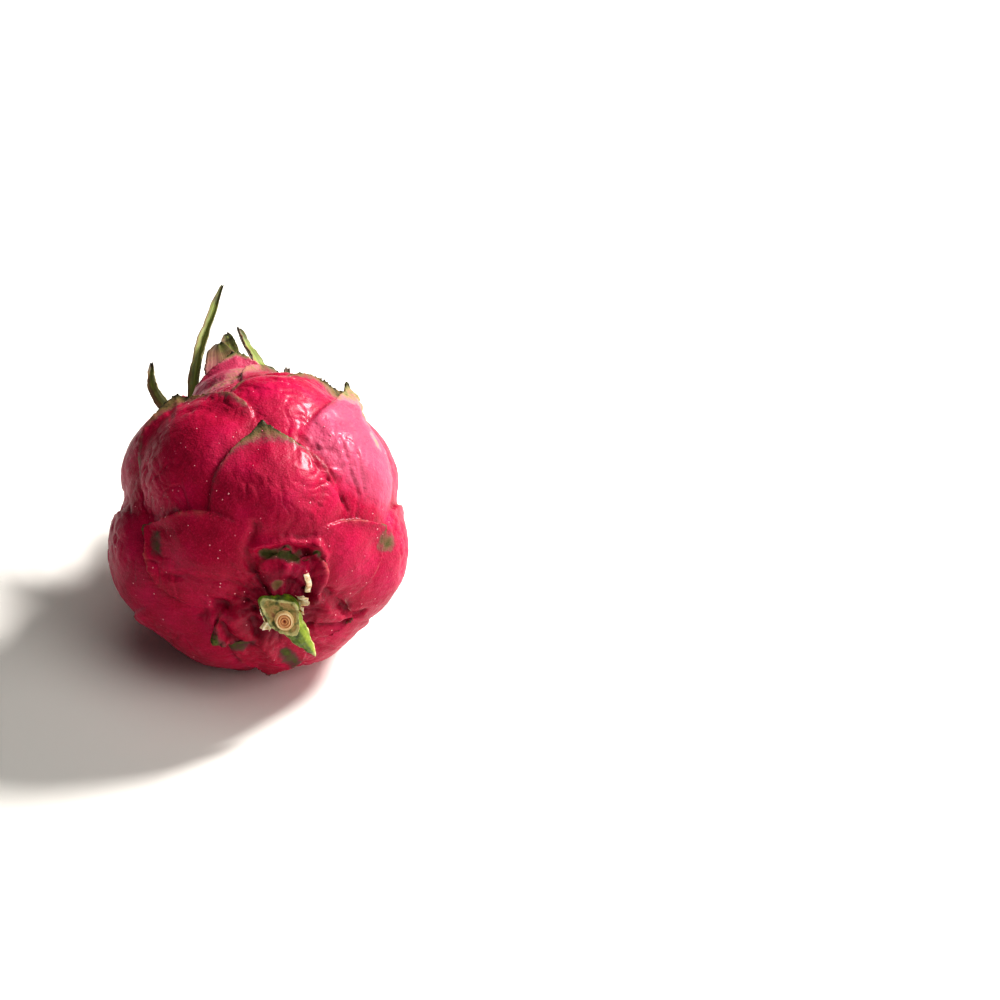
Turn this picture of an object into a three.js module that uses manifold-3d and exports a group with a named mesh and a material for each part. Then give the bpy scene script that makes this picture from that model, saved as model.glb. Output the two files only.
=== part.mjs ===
// A whole red dragon fruit, picked, lying on its side: a round body covered in broad leaf-like scales that
// all point away from the stem, a crown of long narrow bracts round the hollow where the flower dropped off,
// the dry scar in that hollow, and the cut stub of the three-ribbed cactus stem.
// Millimetres, +Z up. The fruit is shaped in its own frame, its axis along Y with the stem towards -Y, and
// angles turn round that axis from +X towards +Z. A group then tips the fruit as it rests.

import * as THREE from "three";
import { mergeVertices } from "three/addons/utils/BufferGeometryUtils.js";
import Module from "manifold-3d";

const wasm = await Module();
wasm.setup();

// How the fruit lies: the crown end is a little higher, and the widest ring stands over the origin's height.
const TIP_UP = THREE.MathUtils.degToRad(4);
const WIDEST_RING = new THREE.Vector3(1.6, -21.5, 43.2);

// The bare body, before its scales
const BODY_RADIUS = 39.6;
const STEM_END = 41.5; // widest ring to the pole at the stem
const CROWN_END = 52; // widest ring to the crown's rim
const NECK_RADIUS = 15;
const BLUNTNESS = 0.87; // under 1 is blunter than an ellipse at the stem end
const NECK_TAPER = 1.15;
const CROWN_FLARE = THREE.MathUtils.degToRad(4); // how far the bracts lean out past the rim
const STEM_BOSS = { height: 5.2, radius: 13 };
const HOLLOW = { depth: 11, mouth: 11.5, floor: 8.4, lip: 1.6 };

// The scales, numbered from the stem: each a golden angle on from the last, and each with its share of skin
const SCALES = 25;
const FIRST_ANGLE = 52.5;
const GOLDEN_ANGLE = 137.5;
const STEM_AREA = 300; // square millimetres of skin before the first scale
const SHORTEST = 15;
const LONGEST = 52;
const NARROWEST = 7; // half widths
const WIDEST = 20.5;
const CROWN_SHORTER = 0.42; // how much less the scales next to the crown grow, as shares
const CROWN_NARROWER = 0.5;
const NARROW_AXIS = 5; // nearer to the axis than this, turns are reckoned as if at this radius
const SMALLEST_ROOT = 6.4; // no scale starts nearer to the stem's pole
const LOBE_HEIGHT = 4.9; // the swelling under a full-grown scale
const PILLOW = 0.34; // how much the scale itself swells, as a share of its lobe
const SWELL = { across: 1.2, along: 0.64 }; // the swelling's reach against the scale's half width and length
const BELLY = 0.45; // where along a scale it is widest, as a share of its length
const SINK = 1.3; // how deep a scale's root lies in the flesh
const SCALE_THICKNESS = 0.9;
const MARGIN_THICKNESS = 0.8;

// What single scales do, as the real fruit shows: turn in degrees, shift in millimetres towards the crown,
// stretch of the length, sway of the tip in millimetres round the fruit, lift of the tip in millimetres, and
// slim for how much it narrows towards the tip.
const HABITS = {
  0: { turn: 6, stretch: 0.9, lift: 2 },
  1: { turn: 14, lift: 2, sway: 3 },
  2: { turn: 4, shift: 2, stretch: 1.1 },
  3: { turn: -26, shift: -3, stretch: 0.55, lift: -0.6, widen: 1.1, flare: 0.2 },
  4: { turn: 16, shift: -1, sway: 4 },
  5: { turn: 8, sway: -8 },
  6: { turn: -15, sway: 8 },
  8: { turn: 13, shift: -3, stretch: 0.82, sway: 2, lift: 0.8 },
  9: { turn: 15, shift: -3, sway: 8, lift: -0.6 },
  11: { turn: -4, shift: 5, stretch: 1.05, lift: 1 },
  13: { turn: 4, shift: -4, stretch: 0.98, lift: 4.2, sway: 4, slim: 0.5 },
  14: { turn: 8, shift: -11, sway: 9, lift: 2, swell: 1.4 },
  16: { turn: -9, shift: -3, stretch: 0.92, sway: -26, lift: 2 },
  18: { lift: 2 },
  19: { turn: 4, shift: -4, lift: 2.5 },
  24: { turn: -29, lift: 0.6 },
};

// The crown's bracts: angle in degrees; length past the rim and half width in millimetres; lean outwards and
// sway round the fruit of the tip, and bow of the middle, in millimetres; how far the margins fold up; twist of
// the tip in degrees; blunt is high for a rounded end
const CROWN = [
  { angle: 158, length: 46, width: 2.7, lean: -10, sway: -22, fold: 1.7, twist: 75 },
  { angle: 105, length: 22, width: 5.6, lean: 0.5, sway: -1, fold: 1.0, twist: 0, blunt: 7 },
  { angle: 88, length: 32, width: 3.0, lean: -3, sway: 0, fold: 1.2, twist: -20, blunt: 6 },
  { angle: 50, length: 29, width: 4.2, lean: -1, sway: 8, fold: 1.8, twist: 10 },
  { angle: 12, length: 15, width: 4.0, lean: 4, sway: 5, fold: 1.6, twist: -25 },
  { angle: 335, length: 21, width: 4.8, lean: 7, sway: -5, fold: 1.5, twist: 15 },
  { angle: 304, length: 38, width: 4.0, lean: 7, sway: 8, fold: 2.2, twist: 45 },
  { angle: 268, length: 43, width: 4.6, lean: 12, sway: -7, fold: 2.0, twist: -40 },
  { angle: 232, length: 30, width: 5.2, lean: 7, sway: 5, fold: 1.6, twist: 20 },
  { angle: 202, length: 15, width: 4.0, lean: 4, sway: -3, fold: 1.4, twist: 0 },
  { angle: 172, length: 31, width: 2.5, lean: 8, sway: -2, fold: 1.2, twist: 60, bow: 7 },
];
const BLUNT = 2.4;
const BRACT_ROOT = 10; // how far below the rim a bract starts

// The stem's stub: angle and reach of its three ribs, and the long rib that tore away along the fruit. The cut
// slants back towards the top, and this share of that to one side.
const SLANT_ASIDE = 0.4;
const STUB = { radius: 4.8, foot: -40.5, collar: -47.2, end: -51.8, slant: 0.36 };
const RIBS = [
  { angle: 141, reach: 3.4 },
  { angle: 40, reach: 0.9 },
  { angle: 304, reach: 2.2 },
];
const RIB_SPREAD = 26;
const TORN_RIB = { angle: 300, reach: 19.5, width: 4.4, tip: -50 };
const SOCKET = { radius: 4.9, floor: -40.2 };
const PLUG_RADIUS = 4.5;
const CORE = { radius: 2.9, depth: 5.5, proud: 0.35, x: 0.4, z: -1.2 };
const FIT_GAP = 0.3;

const ROUND = 36; // sides of the body
const ROWS = 18;
const FIELD = { around: 180, along: 96 };
const BLADE = { across: 6, along: 6 };
const BRACT = { across: 4, along: 6 };

const radians = THREE.MathUtils.degToRad;
const smooth = (a, b, x) => THREE.MathUtils.smoothstep(x, a, b);
const mix = THREE.MathUtils.lerp;
const chance = (n, salt) => {
  const x = Math.sin(n * 12.9898 + salt * 78.233) * 43758.5453;
  return x - Math.floor(x);
};
const around = (degrees) => ((((degrees + 180) % 360) + 360) % 360) - 180;

// Half of the body's outline, from the stem's pole to the crown's rim, measured by its own length
function makeMeridian() {
  const points = [];
  const steps = 200;
  for (let i = 0; i <= steps; i++) {
    const a = (i / steps) * (Math.PI / 2);
    points.push([-STEM_END * Math.cos(a) ** BLUNTNESS, BODY_RADIUS * Math.sin(a) ** BLUNTNESS]);
  }
  for (let i = 1; i <= steps; i++) {
    const s = i / steps;
    const narrowing = Math.cos((s * Math.PI) / 2) ** NECK_TAPER;
    points.push([CROWN_END * s, NECK_RADIUS + (BODY_RADIUS - NECK_RADIUS) * narrowing]);
  }
  const lengths = [0];
  const areas = [0];
  for (let i = 1; i < points.length; i++) {
    const step = Math.hypot(points[i][0] - points[i - 1][0], points[i][1] - points[i - 1][1]);
    lengths.push(lengths[i - 1] + step);
    areas.push(areas[i - 1] + step * Math.PI * (points[i][1] + points[i - 1][1]));
  }
  return { points, lengths, areas, total: lengths[lengths.length - 1] };
}
const meridian = makeMeridian();

// Where a length m along the meridian is, and which way is outwards there. Past the rim it runs on straight.
function onMeridian(m) {
  const { points, lengths, total } = meridian;
  if (m > total) {
    const [along, radius] = points[points.length - 1];
    const out = [-Math.sin(CROWN_FLARE), Math.cos(CROWN_FLARE)];
    return { along: along + (m - total) * out[1], radius: radius - (m - total) * out[0], out };
  }
  let i = 1;
  while (i < points.length - 1 && lengths[i] < m) i++;
  const t = (m - lengths[i - 1]) / (lengths[i] - lengths[i - 1]);
  const before = points[Math.max(0, i - 3)];
  const after = points[Math.min(points.length - 1, i + 2)];
  const run = [after[0] - before[0], after[1] - before[1]];
  const size = Math.hypot(...run);
  return {
    along: mix(points[i - 1][0], points[i][0], t),
    radius: Math.max(0, mix(points[i - 1][1], points[i][1], t)),
    out: [-run[1] / size, run[0] / size],
  };
}

function lengthAtArea(area) {
  const { areas, lengths } = meridian;
  let i = 1;
  while (i < areas.length - 1 && areas[i] < area) i++;
  return mix(lengths[i - 1], lengths[i], (area - areas[i - 1]) / (areas[i] - areas[i - 1]));
}

// A point of the fruit: degrees round the axis, length along the meridian, height above the bare body
function place(degrees, m, height) {
  const { along, radius, out } = onMeridian(m);
  const r = Math.max(0, radius + out[1] * height);
  const a = radians(degrees);
  return new THREE.Vector3(r * Math.cos(a), along + out[0] * height, r * Math.sin(a));
}

// The rule that sets every scale, from the stem to the crown
function makeScales() {
  const scales = [];
  let area = STEM_AREA;
  for (let k = 0; k < SCALES; k++) {
    const plain = { turn: 0, shift: 0, stretch: 1, sway: 0, lift: 0, widen: 1, swell: 1, slim: 0, flare: 1 };
    const habit = { ...plain, ...HABITS[k] };
    const grown = smooth(1, 9, k);
    const nearCrown = smooth(17, SCALES, k);
    const share = mix(NARROWEST, WIDEST, grown) * mix(SHORTEST, LONGEST, grown);
    const length = mix(SHORTEST, LONGEST, grown) * (1 - CROWN_SHORTER * nearCrown) * habit.stretch;
    const middle = lengthAtArea(area + share / 2) + habit.shift;
    area += share;
    scales.push({
      angle: FIRST_ANGLE + k * GOLDEN_ANGLE + habit.turn + 6 * (chance(k, 1) - 0.5),
      length,
      root: Math.max(SMALLEST_ROOT, middle - BELLY * length),
      width: mix(NARROWEST, WIDEST, grown) * (1 - CROWN_NARROWER * nearCrown) * habit.widen,
      lift: 0.9 + 0.9 * chance(k, 2) + nearCrown + habit.lift,
      sway: 3 * (chance(k, 3) - 0.5) + habit.sway,
      free: mix(0.72, 0.5, nearCrown),
      lobe: LOBE_HEIGHT * mix(0.2, 1, grown) * (1 - 0.6 * nearCrown) * habit.swell,
      flare: (0.5 + 0.8 * chance(k, 4)) * habit.flare,
      slim: habit.slim,
    });
  }
  return scales;
}

// Half width of a scale at v, from its root (0) to its tip (1), as a share of its greatest
function halfWidth(v) {
  const belly = v < 0.42 ? 0.62 + 0.38 * Math.sin((v / 0.42) * (Math.PI / 2))
    : Math.max(0, 1 - ((v - 0.42) / 0.5) ** 2.2) ** 0.75;
  const cusp = 0.33 * Math.min(1, (1 - v) / 0.15) ** 0.85;
  return Math.max(0.03, (belly ** 4 + cusp ** 4) ** 0.25);
}

// Half width of one scale in millimetres
function scaleHalf(scale, v) {
  return scale.width * halfWidth(v) * (1 - scale.slim * smooth(0.25, 0.9, v));
}

// Where a scale's own u (side to side, -1 to 1) and v (root to tip) fall on the fruit
function onScale(scale, u, v) {
  const m = scale.root + v * scale.length;
  const { radius } = onMeridian(m);
  const side = u * scaleHalf(scale, v) + scale.sway * v * v;
  return { degrees: scale.angle + THREE.MathUtils.radToDeg(side / Math.max(radius, NARROW_AXIS)), m };
}

function fromFruit(scale, degrees, m, radius) {
  const v = (m - scale.root) / scale.length;
  if (v < 0 || v > 1) return null;
  const side = radians(around(degrees - scale.angle)) * Math.max(radius, NARROW_AXIS) - scale.sway * v * v;
  const u = side / scaleHalf(scale, v);
  return Math.abs(u) <= 1 ? { u, v } : null;
}

// Height of a scale's upper and lower face above what it lies on
function upperFace(scale, u, v) {
  const edge = u * u;
  const rise = smooth(0.22 * edge, 0.36 + 0.26 * edge, v);
  const past = Math.max(0, (v - scale.free) / (1 - scale.free));
  const bend = scale.lift * past ** 1.8;
  const flare = scale.flare * edge * edge * smooth(0.4, 0.8, v);
  const round = Math.max(0, 1 - edge) ** 0.8 * smooth(0.02, 0.5, v) * (1 - smooth(0.55, 1, v));
  return mix(-SINK, SCALE_THICKNESS, rise) + PILLOW * scale.lobe * round + bend + flare;
}

function lowerFace(scale, u, v) {
  const side = Math.abs(u) ** 3 * smooth(0.35, 0.62, v);
  const tip = (v - scale.free + 0.12) / 0.22;
  const loose = smooth(0.3, 0.85, Math.max(side, tip));
  const top = upperFace(scale, u, v);
  const thickness = mix(SCALE_THICKNESS * 1.3, MARGIN_THICKNESS, Math.max(Math.abs(u) ** 3, v * v));
  return mix(Math.min(-SINK - 0.7, top - thickness), top - thickness, loose);
}

// The swellings under the scales, and the boss of flesh that the stem grows from
function swelling(scales, degrees, m, radius) {
  let sum = 0;
  for (const scale of scales) {
    const dx = radians(around(degrees - scale.angle)) * radius;
    const dm = m - (scale.root + BELLY * scale.length);
    const d = (dx / (SWELL.across * scale.width)) ** 2 + (dm / (SWELL.along * scale.length)) ** 2;
    if (d < 1) sum += (scale.lobe * (1 - d) ** 0.9) ** 6;
  }
  return sum ** (1 / 6) + STEM_BOSS.height * Math.exp(-((m / STEM_BOSS.radius) ** 2));
}

// A crown bract's upper or lower point at u and v: a strap that leaves the neck along the meridian, then
// leans, sways and twists, with its margins folded up
function onBract(bract, u, v, upper) {
  const length = BRACT_ROOT + bract.length;
  const past = Math.max(0, v - BRACT_ROOT / length) / (1 - BRACT_ROOT / length);
  const spine = place(bract.angle, meridian.total - BRACT_ROOT + v * length, -0.6);
  const a = radians(bract.angle);
  const out = new THREE.Vector3(Math.cos(a), 0, Math.sin(a));
  const side = new THREE.Vector3(-Math.sin(a), 0, Math.cos(a));
  const bow = (bract.bow ?? 0) * Math.sin(Math.PI * past ** 0.8);
  spine.addScaledVector(out, bract.lean * past ** 1.6 + bow).addScaledVector(side, bract.sway * past ** 1.4);
  const turn = radians(bract.twist) * past;
  const across = side.clone().multiplyScalar(Math.cos(turn)).addScaledVector(out, Math.sin(turn));
  const upwards = out.clone().multiplyScalar(Math.cos(turn)).addScaledVector(side, -Math.sin(turn));
  const narrowing = (1 - v ** (bract.blunt ?? BLUNT)) ** 0.8;
  const half = bract.width * (0.16 + 0.84 * narrowing) * (1 + 0.45 * (1 - smooth(0, 0.4, v)));
  const thickness = mix(1.9, 0.8, smooth(0, 0.5, v));
  const fold = bract.fold * Math.abs(u) ** 1.5 * smooth(0.1, 0.45, v) * (1 - 0.6 * v ** 3);
  const height = (upper ? 0.5 : -0.5) * thickness * (1 - 0.25 * Math.abs(u)) + fold;
  return spine.addScaledVector(across, half * u).addScaledVector(upwards, height);
}

// A height field over the skin, which each scale is draped on in turn
class Field {
  constructor(heights) {
    this.heights = heights;
  }
  static make(at) {
    const heights = [];
    for (let j = 0; j <= FIELD.along; j++) {
      const m = (j / FIELD.along) * meridian.total;
      const { radius } = onMeridian(m);
      heights.push(Float64Array.from({ length: FIELD.around }, (_, i) => at((i * 360) / FIELD.around, m, radius)));
    }
    return new Field(heights);
  }
  map(change) {
    return Field.make((degrees, m, radius) => {
      const j = Math.round((m / meridian.total) * FIELD.along);
      const i = Math.round((degrees * FIELD.around) / 360) % FIELD.around;
      return change(i, j, degrees, m, radius);
    });
  }
  softened() {
    const { along, around: turns } = FIELD;
    return this.map((i, j) => {
      let sum = 0;
      for (const dj of [-1, 0, 1])
        for (const di of [-1, 0, 1])
          sum += this.heights[Math.min(along, Math.max(0, j + dj))][(i + di + turns) % turns];
      return sum / 9;
    });
  }
  at(degrees, m) {
    const x = ((((degrees % 360) + 360) % 360) * FIELD.around) / 360;
    const y = Math.min(FIELD.along - 1e-6, Math.max(0, (m / meridian.total) * FIELD.along));
    const i = Math.floor(x) % FIELD.around;
    const j = Math.floor(y);
    const next = (i + 1) % FIELD.around;
    const low = mix(this.heights[j][i], this.heights[j][next], x - Math.floor(x));
    const high = mix(this.heights[j + 1][i], this.heights[j + 1][next], x - Math.floor(x));
    return mix(low, high, y - j);
  }
}

function bladeGrid(grid, at) {
  return Array.from({ length: grid.along + 1 }, (_, j) =>
    Array.from({ length: grid.across + 1 }, (_, i) => at((2 * i) / grid.across - 1, j / grid.along)));
}

// A solid from a grid of points for its upper face and one for its lower face, rows from root to tip
function bladeGeometry(top, bottom) {
  const rows = top.length;
  const columns = top[0].length;
  const points = [...top.flat(), ...bottom.flat()];
  const upper = (j, i) => j * columns + i;
  const lower = (j, i) => rows * columns + j * columns + i;
  const faces = [];
  const quad = (a, b, c, d) => faces.push(a, b, c, a, c, d);
  for (let j = 0; j < rows - 1; j++)
    for (let i = 0; i < columns - 1; i++) {
      quad(upper(j, i), upper(j + 1, i), upper(j + 1, i + 1), upper(j, i + 1));
      quad(lower(j, i), lower(j, i + 1), lower(j + 1, i + 1), lower(j + 1, i));
    }
  for (let j = 0; j < rows - 1; j++) {
    quad(upper(j, 0), lower(j, 0), lower(j + 1, 0), upper(j + 1, 0));
    quad(upper(j + 1, columns - 1), lower(j + 1, columns - 1), lower(j, columns - 1), upper(j, columns - 1));
  }
  for (let i = 0; i < columns - 1; i++) {
    quad(upper(0, i + 1), lower(0, i + 1), lower(0, i), upper(0, i));
    quad(upper(rows - 1, i), lower(rows - 1, i), lower(rows - 1, i + 1), upper(rows - 1, i + 1));
  }
  return geometryFrom(points, faces);
}

// A closed surface of rings: each ring is a list of points, and the two ends close on a point
function ringGeometry(first, rings, last) {
  const count = rings[0].length;
  const points = [first, ...rings.flat(), last];
  const end = points.length - 1;
  const at = (j, i) => 1 + j * count + (i % count);
  const faces = [];
  for (let i = 0; i < count; i++) {
    faces.push(0, at(0, i), at(0, i + 1));
    for (let j = 0; j < rings.length - 1; j++) {
      faces.push(at(j, i), at(j + 1, i), at(j + 1, i + 1));
      faces.push(at(j, i), at(j + 1, i + 1), at(j, i + 1));
    }
    faces.push(at(rings.length - 1, i + 1), at(rings.length - 1, i), end);
  }
  return geometryFrom(points, faces);
}

function geometryFrom(points, faces) {
  const geometry = new THREE.BufferGeometry().setFromPoints(points);
  geometry.setIndex(faces);
  return geometry;
}

// To a manifold solid and back, for joining and cutting
function toSolid(geometry) {
  const bare = geometry.clone();
  bare.deleteAttribute("normal");
  bare.deleteAttribute("uv");
  const merged = mergeVertices(bare, 1e-4);
  const solid = new wasm.Manifold(new wasm.Mesh({
    numProp: 3,
    vertProperties: new Float32Array(merged.attributes.position.array),
    triVerts: new Uint32Array(merged.index.array),
  }));
  if (solid.volume() < 0) throw new Error("a solid is inside out");
  return solid;
}

function toGeometry(solid) {
  const mesh = solid.getMesh();
  const points = [];
  for (let i = 0; i < mesh.numVert; i++)
    points.push(new THREE.Vector3(...mesh.vertProperties.subarray(i * mesh.numProp, i * mesh.numProp + 3)));
  const geometry = geometryFrom(points, [...mesh.triVerts]);
  geometry.computeVertexNormals();
  return geometry;
}

// Turned about the fruit's axis from a profile of [radius, along] pairs, then moved sideways
function turned(profile, sides, x = 0, z = 0) {
  const points = profile.map(([radius, along]) => new THREE.Vector2(radius, along));
  return new THREE.LatheGeometry(points, sides).translate(x, 0, z);
}

// The fruit: body, swellings, scales and crown, grown as one
function makeFruit() {
  const scales = makeScales();
  const bare = Field.make((degrees, m, radius) => swelling(scales, degrees, m, radius));

  const rings = [];
  for (let j = 1; j <= ROWS; j++) {
    const m = (j / ROWS) * meridian.total;
    rings.push(Array.from({ length: ROUND }, (_, i) => {
      const degrees = (i * 360) / ROUND;
      return place(degrees, m, bare.at(degrees, m));
    }));
  }
  const rim = CROWN_END + HOLLOW.lip;
  const inward = [
    [(NECK_RADIUS + HOLLOW.mouth) / 2, rim],
    [HOLLOW.mouth, rim - 1.2],
    [mix(HOLLOW.mouth, HOLLOW.floor, 0.6), rim - 0.6 * HOLLOW.depth],
    [HOLLOW.floor, rim - HOLLOW.depth],
  ];
  for (const [radius, along] of inward)
    rings.push(Array.from({ length: ROUND }, (_, i) => {
      const a = radians((i * 360) / ROUND);
      const uneven = 1 + 0.04 * Math.sin(5 * a) + 0.03 * Math.sin(3 * a + 1);
      return new THREE.Vector3(radius * uneven * Math.cos(a), along, radius * uneven * Math.sin(a));
    }));
  const pole = place(0, 0, bare.at(0, 0));
  let solid = toSolid(ringGeometry(pole, rings, new THREE.Vector3(0, rim - HOLLOW.depth, 0)));

  let field = bare;
  for (const scale of [...scales].reverse()) {
    const under = field.softened().softened();
    const face = (height) => bladeGrid(BLADE, (u, v) => {
      const { degrees, m } = onScale(scale, u, v);
      return place(degrees, m, under.at(degrees, m) + height(scale, u, v));
    });
    solid = solid.add(toSolid(bladeGeometry(face(upperFace), face(lowerFace))));
    field = field.map((i, j, degrees, m, radius) => {
      const own = fromFruit(scale, degrees, m, radius);
      const height = field.heights[j][i];
      return own ? Math.max(height, under.heights[j][i] + upperFace(scale, own.u, own.v)) : height;
    });
  }
  for (const bract of CROWN) {
    const face = (upper) => bladeGrid(BRACT, (u, v) => onBract(bract, u, v, upper));
    solid = solid.add(toSolid(bladeGeometry(face(true), face(false))));
  }
  const socket = turned([[0, STUB.end - 10], [SOCKET.radius, STUB.end - 10],
    [SOCKET.radius, SOCKET.floor], [0, SOCKET.floor]], 32);
  return solid.subtract(toSolid(socket));
}

// A joined solid without the small hollows that were shut in under its scales
function withoutHollows(solid) {
  return solid.decompose().reduce((best, body) => (body.volume() > best.volume() ? body : best));
}

// The flat spot that the fruit lies on: everything under the surface's level is taken off
function cutFlat(solid, frame) {
  const slab = new THREE.BoxGeometry(300, 300, 50).translate(0, 0, -25);
  slab.applyMatrix4(frame.matrixWorld.clone().invert());
  return withoutHollows(solid.subtract(toSolid(slab)));
}

// The green rind of the stub: a plug in the fruit, a three-ribbed collar cut on the slant, and the torn rib
function makeStemRind() {
  const count = 36;
  const ring = (along, swell, grow) => Array.from({ length: count }, (_, i) => {
    const degrees = (i * 360) / count;
    let reach = 0;
    for (const rib of RIBS) reach += rib.reach * Math.exp(-((around(degrees - rib.angle) / RIB_SPREAD) ** 2));
    const r = STUB.radius * swell + reach * grow;
    const a = radians(degrees);
    const lean = along === STUB.end ? STUB.slant * (r * Math.sin(a) - SLANT_ASIDE * r * Math.cos(a)) : 0;
    return new THREE.Vector3(r * Math.cos(a), along + lean, r * Math.sin(a));
  });
  const middle = (STUB.collar + STUB.end) / 2;
  const levels = [ring(STUB.end, 1, 0.9), ring(middle, 1.06, 1), ring(STUB.collar, 1.14, 0.3)];
  const collar = ringGeometry(new THREE.Vector3(0, STUB.end, 0), levels, new THREE.Vector3(0, STUB.collar, 0));
  const plug = turned([[0, STUB.collar - 4], [PLUG_RADIUS, STUB.collar - 4],
    [PLUG_RADIUS, STUB.foot], [0, STUB.foot]], 24);

  const top = [];
  const bottom = [];
  const steps = 8;
  const out = new THREE.Vector3(Math.cos(radians(TORN_RIB.angle)), 0, Math.sin(radians(TORN_RIB.angle)));
  const across = new THREE.Vector3(-out.z, 0, out.x);
  for (let j = 0; j <= steps; j++) {
    const v = j / steps;
    const reach = mix(1.5, TORN_RIB.reach, v);
    const ridge = mix(STUB.end + 0.4, TORN_RIB.tip - 1.4, v) - 0.8 * Math.sin(Math.PI * v);
    const half = TORN_RIB.width * (1 - v ** 1.3) ** 0.8 + 0.35;
    const rowTop = [];
    const rowBottom = [];
    for (const u of [-1, -0.5, 0, 0.5, 1]) {
      const fall = 2.1 * Math.abs(u) ** 1.4 * (1 - 0.5 * v);
      const point = (depth) => out.clone().multiplyScalar(reach).addScaledVector(across, u * half)
        .add(new THREE.Vector3(0, ridge + depth, 0));
      rowTop.push(point(fall));
      rowBottom.push(point(fall + mix(3.6, 1.1, v) * (1 - 0.6 * Math.abs(u))));
    }
    top.push(rowTop);
    bottom.push(rowBottom);
  }
  const torn = toSolid(bladeGeometry(top, bottom));

  const bore = turned([[0, STUB.end - 10], [CORE.radius + FIT_GAP, STUB.end - 10],
    [CORE.radius + FIT_GAP, STUB.end + CORE.depth], [0, STUB.end + CORE.depth]], 24, CORE.x, CORE.z);
  return toSolid(collar).add(toSolid(plug)).add(torn).subtract(toSolid(bore));
}

// The pale wood in the middle of the stub, as its cut end shows it: rings round a small pith
function makeStemCore() {
  const face = STUB.end - CORE.proud;
  const profile = [[0, face + 0.5], [0.7, face + 0.3], [1.1, face], [1.6, face + 0.25], [2.1, face + 0.05],
    [CORE.radius - 0.2, face + 0.15], [CORE.radius, face + 0.5],
    [CORE.radius, STUB.end + CORE.depth - FIT_GAP], [0, STUB.end + CORE.depth - FIT_GAP]];
  return toSolid(turned(profile, 28, CORE.x, CORE.z));
}

// The dry brown scar of the flower: a thin ragged cup on the hollow's floor, with the stump of the style
function makeFlowerScar() {
  const floor = CROWN_END + HOLLOW.lip - HOLLOW.depth + FIT_GAP;
  const count = 40;
  const cup = [[1.6, 8.6], [2.4, 4.4], [3, 1.3], [6.2, 1.2], [7, 3.2], [7.4, 3.4], [7.1, 1.2], [6, 0]];
  const rings = cup.map(([radius, height]) => Array.from({ length: count }, (_, i) => {
    const a = radians((i * 360) / count);
    const ragged = height > 3 && radius > 5 ? 1 + 0.32 * Math.sin(7 * a) * Math.sin(3 * a + 0.6) : 1;
    const wavy = radius > 5 ? 1 + 0.03 * Math.sin(6 * a) : 1;
    return new THREE.Vector3(radius * wavy * Math.cos(a), floor + height * ragged, radius * wavy * Math.sin(a));
  }));
  rings.reverse();
  return toSolid(ringGeometry(new THREE.Vector3(0, floor, 0), rings, new THREE.Vector3(0, floor + 8.9, 0)));
}

function skin(color, roughness) {
  return new THREE.MeshStandardMaterial({ color, roughness, metalness: 0 });
}

const lying = new THREE.Group();
lying.position.copy(WIDEST_RING);
lying.rotation.x = TIP_UP;
lying.updateMatrixWorld(true);

function piece(name, solid, material) {
  const mesh = new THREE.Mesh(toGeometry(solid), material);
  mesh.name = name;
  lying.add(mesh);
}

piece("fruit", cutFlat(makeFruit(), lying), skin(0xb3123a, 0.45));
piece("stem_rind", makeStemRind(), skin(0x6f8f2c, 0.5));
piece("stem_core", makeStemCore(), skin(0xcfae83, 0.75));
piece("flower_scar", makeFlowerScar(), skin(0x4a3326, 0.85));

const dragonFruit = new THREE.Group();
dragonFruit.add(lying);

export default dragonFruit;
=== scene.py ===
# A whole red dragon fruit, picked, lying on its side on a pale table: the fleshy fruit with its broad scales,
# the crown of narrow bracts round the hollow where the flower dropped off, the dry scar in that hollow, and
# the cut stub of the three-ribbed cactus stem.

import itertools
import math

import bmesh
import bpy
import numpy as np
from mathutils import Matrix, Vector
from mathutils.kdtree import KDTree


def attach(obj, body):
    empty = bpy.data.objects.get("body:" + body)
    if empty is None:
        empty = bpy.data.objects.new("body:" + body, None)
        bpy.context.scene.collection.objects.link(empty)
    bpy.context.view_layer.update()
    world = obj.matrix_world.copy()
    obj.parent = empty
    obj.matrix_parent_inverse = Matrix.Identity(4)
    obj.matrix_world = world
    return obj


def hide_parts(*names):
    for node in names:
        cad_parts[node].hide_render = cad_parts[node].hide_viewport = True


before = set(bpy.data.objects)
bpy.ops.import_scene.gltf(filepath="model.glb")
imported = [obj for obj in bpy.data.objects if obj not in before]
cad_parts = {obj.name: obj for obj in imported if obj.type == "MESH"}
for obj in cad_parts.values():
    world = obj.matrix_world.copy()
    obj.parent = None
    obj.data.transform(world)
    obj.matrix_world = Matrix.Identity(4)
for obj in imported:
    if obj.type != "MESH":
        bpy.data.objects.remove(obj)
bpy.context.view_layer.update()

# How the fruit lies
# It is shaped about its own axis, along Y with the stem towards -Y, in millimetres, as it grew. Then it is
# laid down: the crown end a little higher, and the flat spot of its weight on the table.

MM = 0.001
TIP_UP = math.radians(4)
WIDEST_RING = np.array([1.6, -21.5, 43.2])


def lay(points):
    """Points of the growing fruit, in millimetres, to metres on the table."""
    x, y, z = np.moveaxis(np.asarray(points, float), -1, 0)
    c, s = math.cos(TIP_UP), math.sin(TIP_UP)
    return (np.stack([x, y * c - z * s, y * s + z * c], -1) + WIDEST_RING) * MM


# Body
# The swollen end of the flower: a round fleshy berry, blunt at the stem and drawn in to a short neck at the
# crown, where the flower dropped off and left a hollow. It swells out under every full-grown scale.

BODY_RADIUS = 39.6
STEM_END = 41.5
CROWN_END = 52.0
NECK_RADIUS = 15.0
BLUNTNESS = 0.87
NECK_TAPER = 1.15
CROWN_FLARE = math.radians(4)
STEM_BOSS_HEIGHT = 5.2
STEM_BOSS_RADIUS = 13.0
HOLLOW_DEPTH = 11.0
HOLLOW_MOUTH = 11.5
HOLLOW_FLOOR = 8.4
RIM_LIP = 1.6


def mix(a, b, share):
    return a + (b - a) * share


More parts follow.
